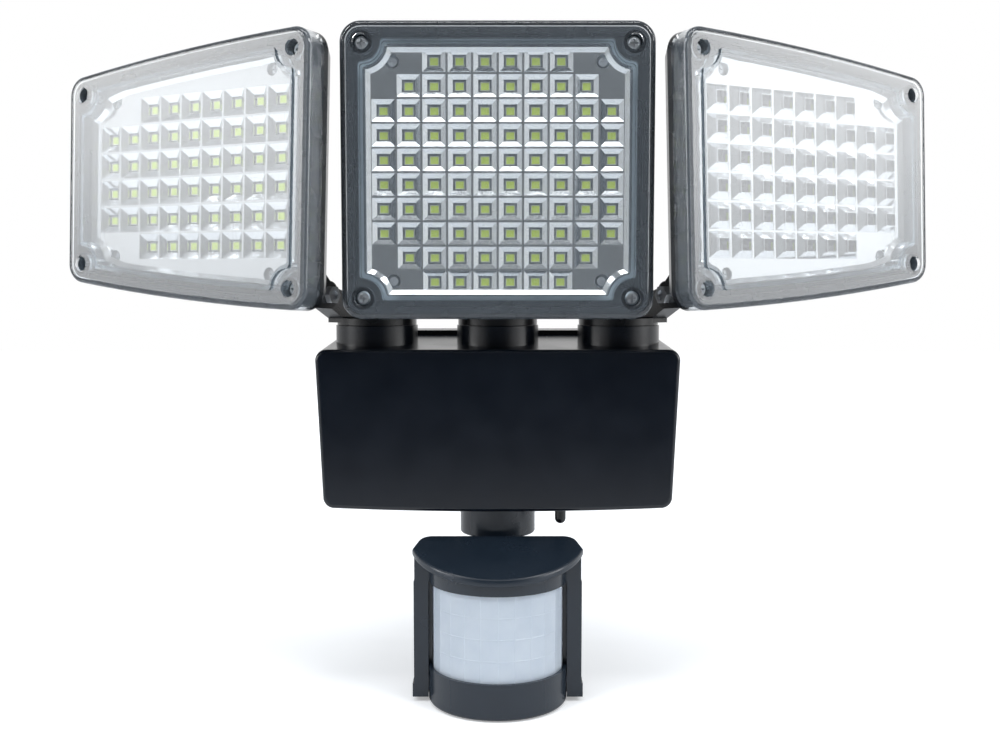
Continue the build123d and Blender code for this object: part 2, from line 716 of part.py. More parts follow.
def rear_cover():
    """Rear tub, proud of the shell all round, with a pocket for the wall plate's hook."""
    far = SPLIT - BODY_SEAL_T
    face = body_section(SPLIT, COVER_RIM_SIDE, COVER_RIM, COVER_CORNER)
    tub = Pos(0, BODY_SEAL_T, 0) * extrude(face, amount=far - BODY_BACK, dir=(0, 1, 0))
    tub = fillet(tub.faces().sort_by(Axis.Y)[-1].edges(), COVER_EDGE_R)
    hollow = extrude(body_section(SPLIT, -BODY_WALL, -BODY_WALL, COVER_CORNER - BODY_WALL),
                     amount=far - BODY_BACK - BODY_WALL + 1, dir=(0, 1, 0))
    tub -= Pos(0, BODY_SEAL_T - 1, 0) * hollow
    tub += hook_pocket(BODY_WALL)
    tub += body_posts(BODY_BACK + BODY_WALL / 2, far)
    tub -= hook_pocket(0)
    seat = BODY_BACK + POST_SINK
    tub -= body_post_holes(seat, far + 1, COVER_SCREW_R + SCREW_GAP)
    tub -= body_post_holes(BODY_BACK - 1, seat, COVER_SCREW_HEAD_R + SCREW_GAP)
    for x in (-BOARD_POST_X, BOARD_POST_X):
        tub += along_y(BOARD_POST_R, BODY_BACK + BODY_WALL / 2, MAIN_BOARD_OUT, x, MAIN_BOARD_Z)
    lock = Pos(0, -BODY_BACK - HOOK_DEPTH / 2, 0) * rod(LOCK_R + SCREW_GAP, -BODY_H, -HOOK_DROP)
    return tub - lock


def housing_screws():
    """Four screws from the rear cover into the shell's posts."""
    seat = BODY_BACK + POST_SINK
    screws = []
    for x in (-POST_X, POST_X):
        for z in (-POST_Z, POST_Z):
            head = along_y(COVER_SCREW_HEAD_R, seat - COVER_SCREW_HEAD_T, seat, x, z)
            screws.append(head + along_y(COVER_SCREW_R, seat, SPLIT + POST_SCREW_REACH, x, z))
    return Compound(children=screws)


def wall_plate():
    """Plate that is screwed to the wall, with the hollow block that the light hangs on."""
    face = RectangleRounded(PLATE_W, PLATE_H, PLATE_CORNER)
    for x in (-WALL_HOLE_SPACING / 2, WALL_HOLE_SPACING / 2):
        face -= Pos(x, 0) * Circle(WALL_HOLE_R)
    front = Plane(origin=(0, 0, 0), x_dir=(1, 0, 0), z_dir=(0, -1, 0))
    plate = front.location * extrude(face, amount=PLATE_T)
    reach = BODY_BACK + HOOK_DEPTH
    hook = Pos(0, -reach / 2, -HOOK_DROP) * Box(HOOK_W, reach, HOOK_H)
    plate += fillet(hook.edges().filter_by(Axis.Y), HOOK_CORNER)
    plate -= Pos(0, -(reach - HOOK_WALL) / 2, -HOOK_DROP) * Box(
        HOOK_W - 2 * HOOK_WALL, reach - HOOK_WALL, HOOK_H - 2 * HOOK_WALL)
    lock = rod(LOCK_R + SCREW_GAP, -HOOK_DROP - HOOK_H / 2 - 1, -HOOK_DROP)
    return plate - Pos(0, -BODY_BACK - HOOK_DEPTH / 2, 0) * lock


def lock_screw():
    """Screw under the rear cover that locks the light on the hook."""
    bottom = BODY_FLOOR - COVER_RIM
    top = -HOOK_DROP - HOOK_H / 2 + LOCK_GRIP
    seat = bottom - RUN_GAP
    screw = rod(LOCK_R, seat, top) + rod(2 * LOCK_R, seat - LOCK_HEAD_T, seat)
    return Pos(0, -BODY_BACK - HOOK_DEPTH / 2, 0) * screw


def battery_cells():
    """Two round cells side by side."""
    middle = (BODY_FRONT - BODY_WALL + SPLIT) / 2
    cells = []
    for side in (-0.5, 0.5):
        body = Cylinder(CELL_R, CELL_L - 2, rotation=(0, 90, 0))
        body += Pos(CELL_L / 2 - 0.5, 0, 0) * Cylinder(CELL_R / 3, 3, rotation=(0, 90, 0))
        cells.append(Pos(0, -middle + side * CELL_PITCH, CELL_Z) * body)
    return Compound(children=cells)


def battery_holder():
    """Open tray under the cells, with an end wall and contact at each end."""
    middle = (BODY_FRONT - BODY_WALL + SPLIT) / 2
    depth = 2 * CELL_PITCH - 1
    length = CELL_L + 8
    low = CELL_Z - CELL_R - 2
    tray = Pos(0, -middle, low + 3.5) * Box(length, depth, 7)
    for side in (-0.5, 0.5):
        trough = Cylinder(CELL_R + RUN_GAP, CELL_L + 4, rotation=(0, 90, 0))
        tray -= Pos(0, -middle + side * CELL_PITCH, CELL_Z) * trough
    for side in (-1, 1):
        tray += Pos(side * (length / 2 - 0.8), -middle, low + 8) * Box(1.6, depth, 16)
    leg_low = floor_inside(length / 2)
    for side in (-1, 1):
        tray += Pos(side * (length / 2 - 1.5), -middle, (leg_low + low) / 2 + 0.5) * Box(
            3, depth - 8, low - leg_low + 1)
    return tray


def control_board():
    """Charge and dimming board, on the rear cover's pillars, with its larger components."""
    front = MAIN_BOARD_OUT + BOARD_T
    board = Pos(0, -MAIN_BOARD_OUT - BOARD_T / 2, MAIN_BOARD_Z) * Box(
        MAIN_BOARD_W, BOARD_T, MAIN_BOARD_H)
    for x, width, height, deep in ((-30, 14, 8, 3.0), (-8, 9, 9, 1.6), (14, 12, 12, 4.0),
                                   (34, 6, 14, 2.4)):
        board += Pos(x, -front - deep / 2, MAIN_BOARD_Z) * Box(width, deep, height)
    return board


def neck():
    """Round neck that turns in the housing's floor and ends in a flat knuckle."""
    top = NECK_TOP
    part = rod(NECK_R, NECK_BOTTOM, top)
    part = fillet(part.faces().sort_by(Axis.Z)[0].edges(), 1.0)
    part += rod(NECK_SPIGOT_R, top - 1, top + NECK_SPIGOT_LENGTH)
    knuckle = Pos(0, 0, (SENSOR_PIN_Z + NECK_BOTTOM) / 2 + 0.5) * Box(
        NECK_KNUCKLE_W, 2 * SENSOR_KNUCKLE_R, NECK_BOTTOM - SENSOR_PIN_Z + 1)
    knuckle += Pos(0, 0, SENSOR_PIN_Z) * Cylinder(
        SENSOR_KNUCKLE_R, NECK_KNUCKLE_W, rotation=(0, 90, 0))
    part += knuckle
    part -= Pos(0, 0, SENSOR_PIN_Z) * Cylinder(
        PIN_R + PIN_GAP, 4 * NECK_R, rotation=(0, 90, 0))
    return Pos(0, -NECK_OUT, 0) * part


def neck_keeper():
    """Washer and screw inside the housing that keep the neck in its bore."""
    low = NECK_TOP + NECK_SPIGOT_LENGTH
    return Pos(0, -NECK_OUT, 0) * (rod(KEEPER_R, low, low + KEEPER_T)
                                   + rod(KEEPER_SCREW_R, low + KEEPER_T,
                                         low + KEEPER_T + KEEPER_SCREW_T))


# ---- Sensor ----
def hood_top(out):
    """Height of the hood's top at a distance out from the wall."""
    share = (HOOD_FRONT - out) / (HOOD_FRONT - HOOD_REAR)
    return HOOD_FRONT_Z + (HOOD_REAR_Z - HOOD_FRONT_Z) * share


def hood_plan(inset=0.0):
    """The hood seen from above: round front, sides drawing in to the rear."""
    half, rear = HOOD_W / 2, HOOD_REAR_W / 2
    with BuildSketch() as drawing:
        with BuildLine():
            ThreePointArc((-half, -HOOD_WIDEST), (0, -HOOD_FRONT), (half, -HOOD_WIDEST))
            Polyline((half, -HOOD_WIDEST), (rear, -HOOD_REAR), (-rear, -HOOD_REAR),
                     (-half, -HOOD_WIDEST))
        make_face()
        rear_corners = drawing.vertices().filter_by_position(Axis.Y, -HOOD_REAR - 1, 0)
        fillet(rear_corners, HOOD_CORNER)
        fillet(drawing.vertices().filter_by_position(Axis.Y, -HOOD_WIDEST - 1,
                                                     -HOOD_WIDEST + 1), 3)
    face = drawing.sketch
    return offset(face, amount=-inset) if inset > 0 else face


def side_profile(points):
    """A slab across the whole sensor with the given outline seen from the side."""
    with BuildSketch(Plane.YZ) as drawing:
        with BuildLine():
            Polyline(*points, close=True)
        make_face()
    return Pos(-HOOD_W, 0, 0) * extrude(drawing.sketch, amount=2 * HOOD_W, dir=(1, 0, 0))


def hood():
    """Sloping hood with a skirt, and the ring inside it that holds the lens's top."""
    front, rear = -HOOD_FRONT - 2, -HOOD_REAR + 2
    low = HOOD_BOTTOM
    cap = slab(hood_plan(), low, HOOD_REAR_Z + 2)
    cap &= side_profile([(front, low), (rear, low), (rear, hood_top(-rear)),
                         (front, hood_top(-front))])
    cap = fillet(cap.faces().sort_by(Axis.Z)[-1].edges(), HOOD_EDGE)
    inside = slab(hood_plan(HOOD_WALL), low - 1, HOOD_REAR_Z + 2)
    inside &= side_profile([(front, low - 1), (rear, low - 1), (rear, hood_top(-rear) - HOOD_T),
                            (front, hood_top(-front) - HOOD_T)])
    ring = rod(LENS_R + LENS_T, low - 2, 0, 0, -LENS_OUT) - rod(LENS_R - 3, low - 3, 1, 0, -LENS_OUT)
    cap -= inside - ring
    groove = rod(LENS_R + PIN_GAP, low - 1, LENS_TOP + LENS_TUCK + RUN_GAP, 0, -LENS_OUT)
    groove -= rod(LENS_R - LENS_T - PIN_GAP, low - 2, 0, 0, -LENS_OUT)
    return cap - groove


def lens():
    """Translucent lens: most of a half cylinder, with shallow bands outside."""
    low, high = LENS_BOTTOM - LENS_TUCK, LENS_TOP + LENS_TUCK
    tube = rod(LENS_R, low, high) - rod(LENS_R - LENS_T, low - 1, high + 1)
    pitch = (LENS_TOP - LENS_BOTTOM) / LENS_BANDS
    for index in range(1, LENS_BANDS):
        z = LENS_BOTTOM + index * pitch
        groove = rod(LENS_R + 1, z - 0.2, z + 0.2) - rod(LENS_R - LENS_GROOVE, z - 1, z + 1)
        tube -= groove
    edge = 2 * LENS_R
    angle = math.radians(LENS_HALF_ANGLE)
    with BuildSketch() as wedge:
        with BuildLine():
            Polyline((0, 0), (-edge * math.sin(angle), -edge * math.cos(angle)),
                     (-edge, -2 * edge), (edge, -2 * edge),
                     (edge * math.sin(angle), -edge * math.cos(angle)), close=True)
        make_face()
    return Pos(0, -LENS_OUT, 0) * (tube & slab(wedge.sketch, low - 1, high + 1))


def base_cup():
    """Round cup under the lens, closed below, with holes for the three dials."""
    top = LENS_BOTTOM
    cup = rod(CUP_R, CUP_BOTTOM, top)
    cup = fillet(cup.faces().sort_by(Axis.Z)[0].edges(), 1.2)
    cup -= rod(CUP_R - CUP_WALL, CUP_BOTTOM + CUP_WALL, top + 1)
    seat = top - LENS_TUCK - RUN_GAP
    cup += rod(CUP_R - 0.5, seat - 2.5, seat) - rod(LENS_R - LENS_T - 1, seat - 5, seat + 1)
    cup -= rod(LENS_R + PIN_GAP, seat, top + 1)
    cup = Pos(0, -LENS_OUT, 0) * cup
    for x, out in dial_places():
        cup -= Pos(x, -out, 0) * rod(DIAL_R + RUN_GAP, CUP_BOTTOM - 1, CUP_BOTTOM + 3)
    return cup


def dial_places():
    """Where the three setting dials stand."""
    return [(-DIAL_PITCH, DIAL_OUT), (0, DIAL_OUT + 4), (DIAL_PITCH, DIAL_OUT)]


def dial(x, out):
    """Setting dial with a screwdriver slot."""
    knob = rod(DIAL_R, CUP_BOTTOM + 0.2, CUP_BOTTOM + 0.2 + DIAL_T)
    knob += rod(DIAL_R + 1, CUP_BOTTOM + CUP_WALL + RUN_GAP, CUP_BOTTOM + 0.2 + DIAL_T)
    knob -= Pos(0, 0, CUP_BOTTOM + 0.2) * Box(2 * DIAL_R - 1.6, 1.0, 1.6)
    return Pos(x, -out, 0) * knob


def sensor_case():
    """Rear of the sensor: open box between two side fins, with ears for its tilt pin."""
    top = HOOD_BOTTOM
    block = Pos(0, -(LENS_OUT + CASE_BACK) / 2, (top + CASE_BOTTOM) / 2) * Box(
        CASE_W, LENS_OUT - CASE_BACK, top - CASE_BOTTOM)
    block = fillet(block.edges().filter_by(Axis.Z).group_by(Axis.Y)[-1], CASE_CORNER)
    for side in (-1, 1):
        for step, high in ((0, top), (FIN_STEP, FIN_STEP_Z)):
            inner = CASE_W / 2 - FIN_LAP
            outer = CUP_R + RUN_GAP + FIN_T + step
            block += Pos(side * (inner + outer) / 2, -(FIN_FRONT + FIN_BACK) / 2,
                         (high + FIN_BOTTOM) / 2) * Box(
                outer - inner, FIN_FRONT - FIN_BACK, high - FIN_BOTTOM)
    block -= rod(CUP_R + RUN_GAP, CUP_BOTTOM - 1, LENS_BOTTOM, 0, -LENS_OUT)
    block -= Pos(0, -LENS_OUT, 0) * rod(LENS_R + PIN_GAP, LENS_BOTTOM, top + 1) & Pos(
        0, -LENS_OUT, 0) * Box(4 * LENS_R, 2 * (LENS_OUT - CASE_BACK - CASE_WALL), 8 * LENS_R)
    for side in (-1, 1):
        block += along_y(PIR_POST_R, CASE_BACK + CASE_WALL / 2, LENS_OUT - PIR_BEHIND - BOARD_T,
                         side * (PIR_BOARD_W / 2 - PIR_POST_R), (LENS_TOP + LENS_BOTTOM) / 2)
    for side in (-1, 1):
        x = side * (NECK_KNUCKLE_W / 2 + RUN_GAP + SENSOR_EAR_T / 2)
        block += Pos(x, -NECK_OUT, SENSOR_PIN_Z) * Cylinder(
            SENSOR_KNUCKLE_R, SENSOR_EAR_T, rotation=(0, 90, 0))
        low = SENSOR_PIN_Z - 3 * SENSOR_KNUCKLE_R
        with BuildSketch(Plane.YZ) as web:
            with BuildLine():
                Polyline((-NECK_OUT + SENSOR_KNUCKLE_R, SENSOR_PIN_Z),
                         (-CASE_BACK - 1, low), (-CASE_BACK - 1, top),
                         (-NECK_OUT - SENSOR_KNUCKLE_R, SENSOR_PIN_Z), close=True)
            make_face()
        block += Pos(x - SENSOR_EAR_T / 2, 0, 0) * extrude(
            web.sketch, amount=SENSOR_EAR_T, dir=(1, 0, 0))
    bore = Pos(0, -NECK_OUT, SENSOR_PIN_Z) * Cylinder(
        PIN_R + PIN_GAP, 2 * CASE_W, rotation=(0, 90, 0))
    return block - bore


def sensor_pin():
    """Pivot bolt through the sensor's ears and the neck's knuckle, with its nut."""
    half = NECK_KNUCKLE_W / 2 + RUN_GAP + SENSOR_EAR_T
    return cross_bolt(half, Pos(0, -NECK_OUT, SENSOR_PIN_Z))


def pir_board():
    """Small upright board behind the lens."""
    out = LENS_OUT - PIR_BEHIND - BOARD_T / 2
    return Pos(0, -out, (LENS_TOP + LENS_BOTTOM) / 2) * Box(PIR_BOARD_W, BOARD_T, PIR_BOARD_H)


def pyro_element():
    """Round infrared detector can on the sensor's board."""
    z = (LENS_TOP + LENS_BOTTOM) / 2
    out = LENS_OUT - PIR_BEHIND
    can = along_y(4.1, out, out + 4.2, 0, z) + along_y(4.6, out, out + 0.6, 0, z)
    return can - Pos(0, -out - 4.4, z) * Box(4, 0.8, 3)


# ---- Switch and socket ----
def switch_body():
    """Toggle switch inside the housing, with its bush in the floor's hole."""
    floor = floor_inside(SWITCH_X + SWITCH_W / 2)
    low = BODY_FLOOR + 2 * RUN_GAP
    slack = 0.2
    swing = math.tan(math.radians(LEVER_THROW)) * (LEVER_PIVOT - low)
    body = Pos(0, 0, floor + SWITCH_H / 2) * Box(SWITCH_W, SWITCH_D, SWITCH_H)
    body += rod(BUSH_R, low, floor + 1)
    body -= Pos(0, 0, (LEVER_PIVOT + low - 1) / 2) * Cone(
        LEVER_R + swing + slack, LEVER_R + slack, LEVER_PIVOT - low + 1)
    body -= Pos(0, 0, LEVER_PIVOT) * Sphere(LEVER_BALL_R + slack)
    return Pos(SWITCH_X, -SWITCH_OUT, 0) * body


def toggle_lever():
    """Round-ended lever that rocks on a ball inside the switch."""
    tip = LEVER_TIP + LEVER_R
    lever = rod(LEVER_R, tip, LEVER_PIVOT)
    lever += Pos(0, 0, tip) * Sphere(LEVER_R)
    lever += Pos(0, 0, LEVER_PIVOT) * Sphere(LEVER_BALL_R)
    return Pos(SWITCH_X, -SWITCH_OUT, 0) * lever


def lead_gland():
    """Gland in the floor where the solar panel's lead goes in."""
    inside = floor_inside(abs(SOCKET_X) + SOCKET_R + SOCKET_FLANGE)
    gland = rod(SOCKET_R, BODY_FLOOR - SOCKET_REACH, inside)
    gland = fillet(gland.faces().sort_by(Axis.Z)[0].edges(), 1.0)
    gland += rod(SOCKET_R + SOCKET_FLANGE, inside, inside + 3)
    gland -= rod(SOCKET_BORE_R, BODY_FLOOR - SOCKET_REACH - 1, inside + 4)
    return Pos(SOCKET_X, -SOCKET_OUT, 0) * gland


def build():
    parts = {}
    centre = head_parts(CENTRE, centre_place())
    left = head_parts(WING, wing_place())
    for name, part in centre.items():
        parts["centre_" + name] = part
    for name, part in left.items():
        parts["left_" + name] = part
        parts["right_" + name] = mirror(part, Plane.YZ)
    turret = Pos(0, -TURRET_OUT, 0)
    parts["centre_swivel_arm"] = turret * swivel_arm(0.0, 0.0)
    left_turret = Pos(-TURRET_X, -TURRET_OUT, 0) * Rot(0, 0, -WING_YAW)
    parts["left_swivel_arm"] = left_turret * swivel_arm(WING_REACH, -WING_TONGUE_SHIFT)
    parts["right_swivel_arm"] = mirror(parts["left_swivel_arm"], Plane.YZ)
    parts["centre_swivel_keeper"] = turret * swivel_keeper()
    parts["left_swivel_keeper"] = Pos(-TURRET_X, 0, 0) * parts["centre_swivel_keeper"]
    parts["right_swivel_keeper"] = Pos(TURRET_X, 0, 0) * parts["centre_swivel_keeper"]
    parts["housing_shell"] = housing_shell()
    parts["housing_gasket"] = housing_gasket()
    parts["rear_cover"] = rear_cover()
    parts["housing_screws"] = housing_screws()
    parts["wall_plate"] = wall_plate()
    parts["lock_screw"] = lock_screw()
    parts["battery_cells"] = battery_cells()
    parts["battery_holder"] = battery_holder()
    parts["control_board"] = control_board()
    parts["sensor_neck"] = neck()
    parts["neck_keeper"] = neck_keeper()
    parts["sensor_hood"] = hood()
    parts["sensor_lens"] = lens()
    parts["sensor_base_cup"] = base_cup()
    parts["sensor_case"] = sensor_case()
    parts["sensor_pin"] = sensor_pin()
    parts["pir_board"] = pir_board()
    parts["pyro_element"] = pyro_element()
    for name, (x, out) in zip(("time_dial", "range_dial", "light_dial"), dial_places()):
        parts[name] = dial(x, out)
    parts["switch_body"] = switch_body()
    parts["toggle_lever"] = toggle_lever()
    parts["lead_gland"] = lead_gland()
    return parts


os.makedirs("parts", exist_ok=True)
for node, solid in build().items():
    export_step(solid, f"parts/{node}.step")
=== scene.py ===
import bpy
import json
import math
from mathutils import Matrix, Vector


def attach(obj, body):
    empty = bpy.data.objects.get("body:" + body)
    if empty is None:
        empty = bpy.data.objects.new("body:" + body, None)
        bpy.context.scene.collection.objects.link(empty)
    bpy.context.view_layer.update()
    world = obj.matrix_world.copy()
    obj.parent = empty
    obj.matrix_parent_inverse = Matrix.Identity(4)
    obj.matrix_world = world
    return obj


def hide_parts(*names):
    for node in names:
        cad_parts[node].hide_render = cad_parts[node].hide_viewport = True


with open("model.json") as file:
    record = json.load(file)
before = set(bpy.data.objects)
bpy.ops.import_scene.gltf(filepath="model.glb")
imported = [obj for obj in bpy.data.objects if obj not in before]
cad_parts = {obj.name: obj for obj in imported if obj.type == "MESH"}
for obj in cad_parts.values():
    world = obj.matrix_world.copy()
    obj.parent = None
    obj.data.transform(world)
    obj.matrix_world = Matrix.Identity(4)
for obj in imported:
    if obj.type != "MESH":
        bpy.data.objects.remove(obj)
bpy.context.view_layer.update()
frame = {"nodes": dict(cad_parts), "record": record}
MM = 0.001


# ---- Node helpers ----
def tone(code):
    """An sRGB hex colour as linear values with alpha."""
    parts = [int(code[i:i + 2], 16) / 255 for i in (1, 3, 5)]
    return tuple(c / 12.92 if c <= 0.04045 else ((c + 0.055) / 1.055) ** 2.4 for c in parts) + (1.0,)


def add(tree, kind, values=None, links=None, **settings):
    """Adds a node with its settings, its input values, and links into its inputs."""
    node = tree.nodes.new(kind)
    for key, value in settings.items():
        setattr(node, key, value)
    for key, value in (values or {}).items():
        node.inputs[key].default_value = value
    for key, source in (links or {}).items():
        tree.links.new(source, node.inputs[key])
    return node


def finish_named(name):
    """A new material with an empty node tree, its output node, and the object's own coordinates."""
    material = bpy.data.materials.new(name)
    material.use_nodes = True
    tree = material.node_tree
    tree.nodes.clear()
    output = tree.nodes.new("ShaderNodeOutputMaterial")
    return material, tree, output, add(tree, "ShaderNodeTexCoord").outputs["Object"]


def noise(tree, place, size_mm, detail):
    """Noise with features of about a size."""
    return add(tree, "ShaderNodeTexNoise", {"Scale": 1 / (size_mm * MM), "Detail": detail},
               {"Vector": place}).outputs["Fac"]


def relief(tree, height, strength, depth_mm):
    """A bumped normal, for relief too fine to model."""
    return add(tree, "ShaderNodeBump", {"Strength": strength, "Distance": depth_mm * MM},
               {"Height": height}).outputs["Normal"]


def between(tree, factor, first, last):
    """A colour between two."""
    return add(tree, "ShaderNodeMix", {"A": tone(first), "B": tone(last)}, {"Factor": factor},
               data_type="RGBA").outputs[2]


def ramp(tree, value, start, end, low=0.0, high=1.0, curve="SMOOTHSTEP"):
    """Takes a value's span from start to end into low to high, eased unless curve says LINEAR."""
    spans = {"From Min": start, "From Max": end, "To Min": low, "To Max": high}
    return add(tree, "ShaderNodeMapRange", spans, {"Value": value},
               interpolation_type=curve).outputs["Result"]


def worked(tree, operation, first, last):
    """One number from two."""
    return add(tree, "ShaderNodeMath", None, {0: first, 1: last}, operation=operation).outputs[0]


def chosen(tree, factor, first, last):
    """The first shader where the factor is 0, the last where it is 1."""
    return add(tree, "ShaderNodeMixShader", None, {0: factor, 1: first, 2: last}).outputs[0]


NOISE_SPAN = (0.3, 0.7)     # where nearly all of a noise's values lie


def moulded_plastic(name, dark, light, roughness, grain_mm, depth_mm, mottle_mm=14.0):
    """Injection-moulded plastic: a fine spark-eroded grain, and a faint mottle where it is handled."""
    material, tree, output, place = finish_named(name)
    mottle = noise(tree, place, mottle_mm, 4.0)
    grain = noise(tree, place, grain_mm, 2.0)
    rough = ramp(tree, mottle, *NOISE_SPAN, roughness - 0.02, roughness + 0.03, "LINEAR")
    shader = add(tree, "ShaderNodeBsdfPrincipled", {"IOR": 1.5},
                 {"Base Color": between(tree, mottle, dark, light), "Roughness": rough,
                  "Normal": relief(tree, grain, 0.35, depth_mm)})
    tree.links.new(shader.outputs["BSDF"], output.inputs["Surface"])
    return material


def turned_metal(name, code, roughness, scratch_mm):
    """Plated or bare metal with faint uneven polish."""
    material, tree, output, place = finish_named(name)
    wear = noise(tree, place, scratch_mm, 5.0)
    rough = ramp(tree, wear, *NOISE_SPAN, roughness * 0.7, roughness * 1.4, "LINEAR")
    shader = add(tree, "ShaderNodeBsdfPrincipled", {"Base Color": tone(code), "Metallic": 1.0},
                 {"Roughness": rough})
    tree.links.new(shader.outputs["BSDF"], output.inputs["Surface"])
    return material


def clear_polycarbonate():
    """Clear moulded polycarbonate: polished, with a flow wave and a faint haze. Lamps shine through it."""
    material, tree, output, place = finish_named("clear_polycarbonate")
    wave = relief(tree, noise(tree, place, 30, 1.0), 0.12, 0.3)
    glass = add(tree, "ShaderNodeBsdfPrincipled",
                {"Base Color": tone("#fbfdfe"), "Roughness": 0.015, "IOR": 1.5, "Transmission Weight": 1.0},
                {"Normal": wave})
    haze = add(tree, "ShaderNodeBsdfDiffuse", {"Color": tone("#cfdbe8")})
    hazy = add(tree, "ShaderNodeMixShader", {0: 0.045}, {1: glass.outputs["BSDF"], 2: haze.outputs["BSDF"]})
    clear = add(tree, "ShaderNodeBsdfTransparent", {"Color": tone("#f4f8fa")})
    path = add(tree, "ShaderNodeLightPath")
    through = worked(tree, "MAXIMUM", path.outputs["Is Shadow Ray"], path.outputs["Is Diffuse Ray"])
    tree.links.new(chosen(tree, through, hazy.outputs[0], clear.outputs["BSDF"]), output.inputs["Surface"])
    return material


def metallised_plastic():
    """Vacuum-metallised ABS: a near mirror with a faint orange-peel ripple."""
    material, tree, output, place = finish_named("metallised_abs")
    ripple = relief(tree, noise(tree, place, 3.5, 2.0), 0.25, 0.12)
    shader = add(tree, "ShaderNodeBsdfPrincipled", {"Base Color": tone("#dfe1e3"), "Metallic": 1.0,
                                                    "Roughness": 0.1}, {"Normal": ripple})
    tree.links.new(shader.outputs["BSDF"], output.inputs["Surface"])
    return material


def milky_lens():
    """Milky polyethylene film: light spreads in it, with faint cloudy patches from moulding."""
    material, tree, output, place = finish_named("milky_polyethylene")
    cloud = noise(tree, place, 9, 3.0)
    shader = add(tree, "ShaderNodeBsdfPrincipled",
                 {"Roughness": 0.32, "IOR": 1.51, "Subsurface Weight": 0.3,
                  "Subsurface Radius": (4 * MM, 4 * MM, 5 * MM), "Subsurface Scale": 1.0},
                 {"Base Color": between(tree, cloud, "#b9c5d6", "#cbd5e2")})
    tree.links.new(shader.outputs["BSDF"], output.inputs["Surface"])
    return material


def solder_mask(name, mask, track, pitch_mm):
    """Lacquered circuit board: tracks show as slightly lighter cells under the lacquer."""
    material, tree, output, place = finish_named(name)
    pattern = add(tree, "ShaderNodeTexVoronoi", {"Scale": 1 / (pitch_mm * MM)}, {"Vector": place},
                  distance="CHEBYCHEV")
    edge = ramp(tree, pattern.outputs["Distance"], 0.35, 0.5, curve="LINEAR")
    shader = add(tree, "ShaderNodeBsdfPrincipled", {"Roughness": 0.3, "IOR": 1.5},
                 {"Base Color": between(tree, edge, mask, track)})
    tree.links.new(shader.outputs["BSDF"], output.inputs["Surface"])
    return material


# ---- Finishes, and what each gives the eye ----
# Plastics: darkest and lightest colour, roughness, size and depth of the grain in mm.
# Blue-black gloss of the housing, softened by its grain.
HOUSING = moulded_plastic("black_abs", "#030913", "#07111d", 0.24, 0.9, 0.02)
# Black of the heads' shells and arms, less blue and a little duller.
SHELL = moulded_plastic("black_abs_shell", "#05080c", "#090d12", 0.27, 0.9, 0.03)
# Slate blue of the sensor, lighter than all that hangs above it.
SLATE = moulded_plastic("slate_asa", "#18212b", "#1e2833", 0.25, 0.8, 0.03)
# Dull dark grey of the hidden holders and washers.
INNER = moulded_plastic("plain_nylon", "#1b1c1d", "#242526", 0.5, 1.0, 0.05)
# Pale rubber that shows as a light line between shell and cover.
SEAL = moulded_plastic("silicone_rubber", "#c3cad1", "#d3d9de", 0.5, 0.6, 0.02)
# Off-white setting dials under the sensor.
DIAL = moulded_plastic("white_acetal", "#d6d6d0", "#e2e2dc", 0.4, 0.7, 0.02)
# Coarser dull black of the wall plate.
BRACKET = moulded_plastic("powder_coat", "#101214", "#17191c", 0.5, 0.6, 0.08)
# Pale frame round each LED.
CERAMIC = moulded_plastic("led_body", "#b9bca9", "#c6c8b6", 0.35, 0.6, 0.01)
# Yellow-green pool in each LED, clotted within its own width.
PHOSPHOR = moulded_plastic("yellow_phosphor", "#b4c63e", "#cddc66", 0.3, 0.5, 0.01, mottle_mm=0.9)
# Blue shrink sleeve of the cells.
WRAP = moulded_plastic("cell_wrap", "#1f4f8c", "#285c9c", 0.3, 0.8, 0.02)
# Metals: colour, roughness, size of the uneven polish in mm.
# Satin grey screws and pins.
ZINC = turned_metal("zinc_plate", "#c4c7cb", 0.42, 1.2)
# Warm, brighter can of the detector.
NICKEL = turned_metal("nickel_can", "#c4c0b6", 0.25, 1.0)
# Clear covers, bright mirror cells and the cloudy sensor lens.
CLEAR = clear_polycarbonate()
MIRROR = metallised_plastic()
LENS = milky_lens()
# Boards: lacquer, tracks under it, pitch of the tracks in mm.
WHITE_BOARD = solder_mask("white_solder_mask", "#8f9194", "#a5a7a9", 3.0)
GREEN_BOARD = solder_mask("green_solder_mask", "#12502a", "#1c6a3a", 2.0)

by_slot = {"black_housing": HOUSING, "black_shell": SHELL, "black_arm": SHELL, "clear_cover": CLEAR,
           "reflector": MIRROR, "led_board": WHITE_BOARD, "led_package": PHOSPHOR, "seal": SEAL,
           "screw": ZINC, "wall_bracket": BRACKET, "cell": WRAP, "inner_plastic": INNER,
           "circuit_board": GREEN_BOARD,
           "slate_plastic": SLATE, "lens": LENS, "dial": DIAL, "detector_can": NICKEL}
slot_of = {row["node"]: row["material_slot"] for row in frame["record"]["subparts"]}
for node, thing in frame["nodes"].items():
    finish = by_slot[slot_of[node]]
    for index in range(len(thing.material_slots)):
        thing.material_slots[index].material = finish
    if not thing.material_slots:
        thing.data.materials.append(finish)


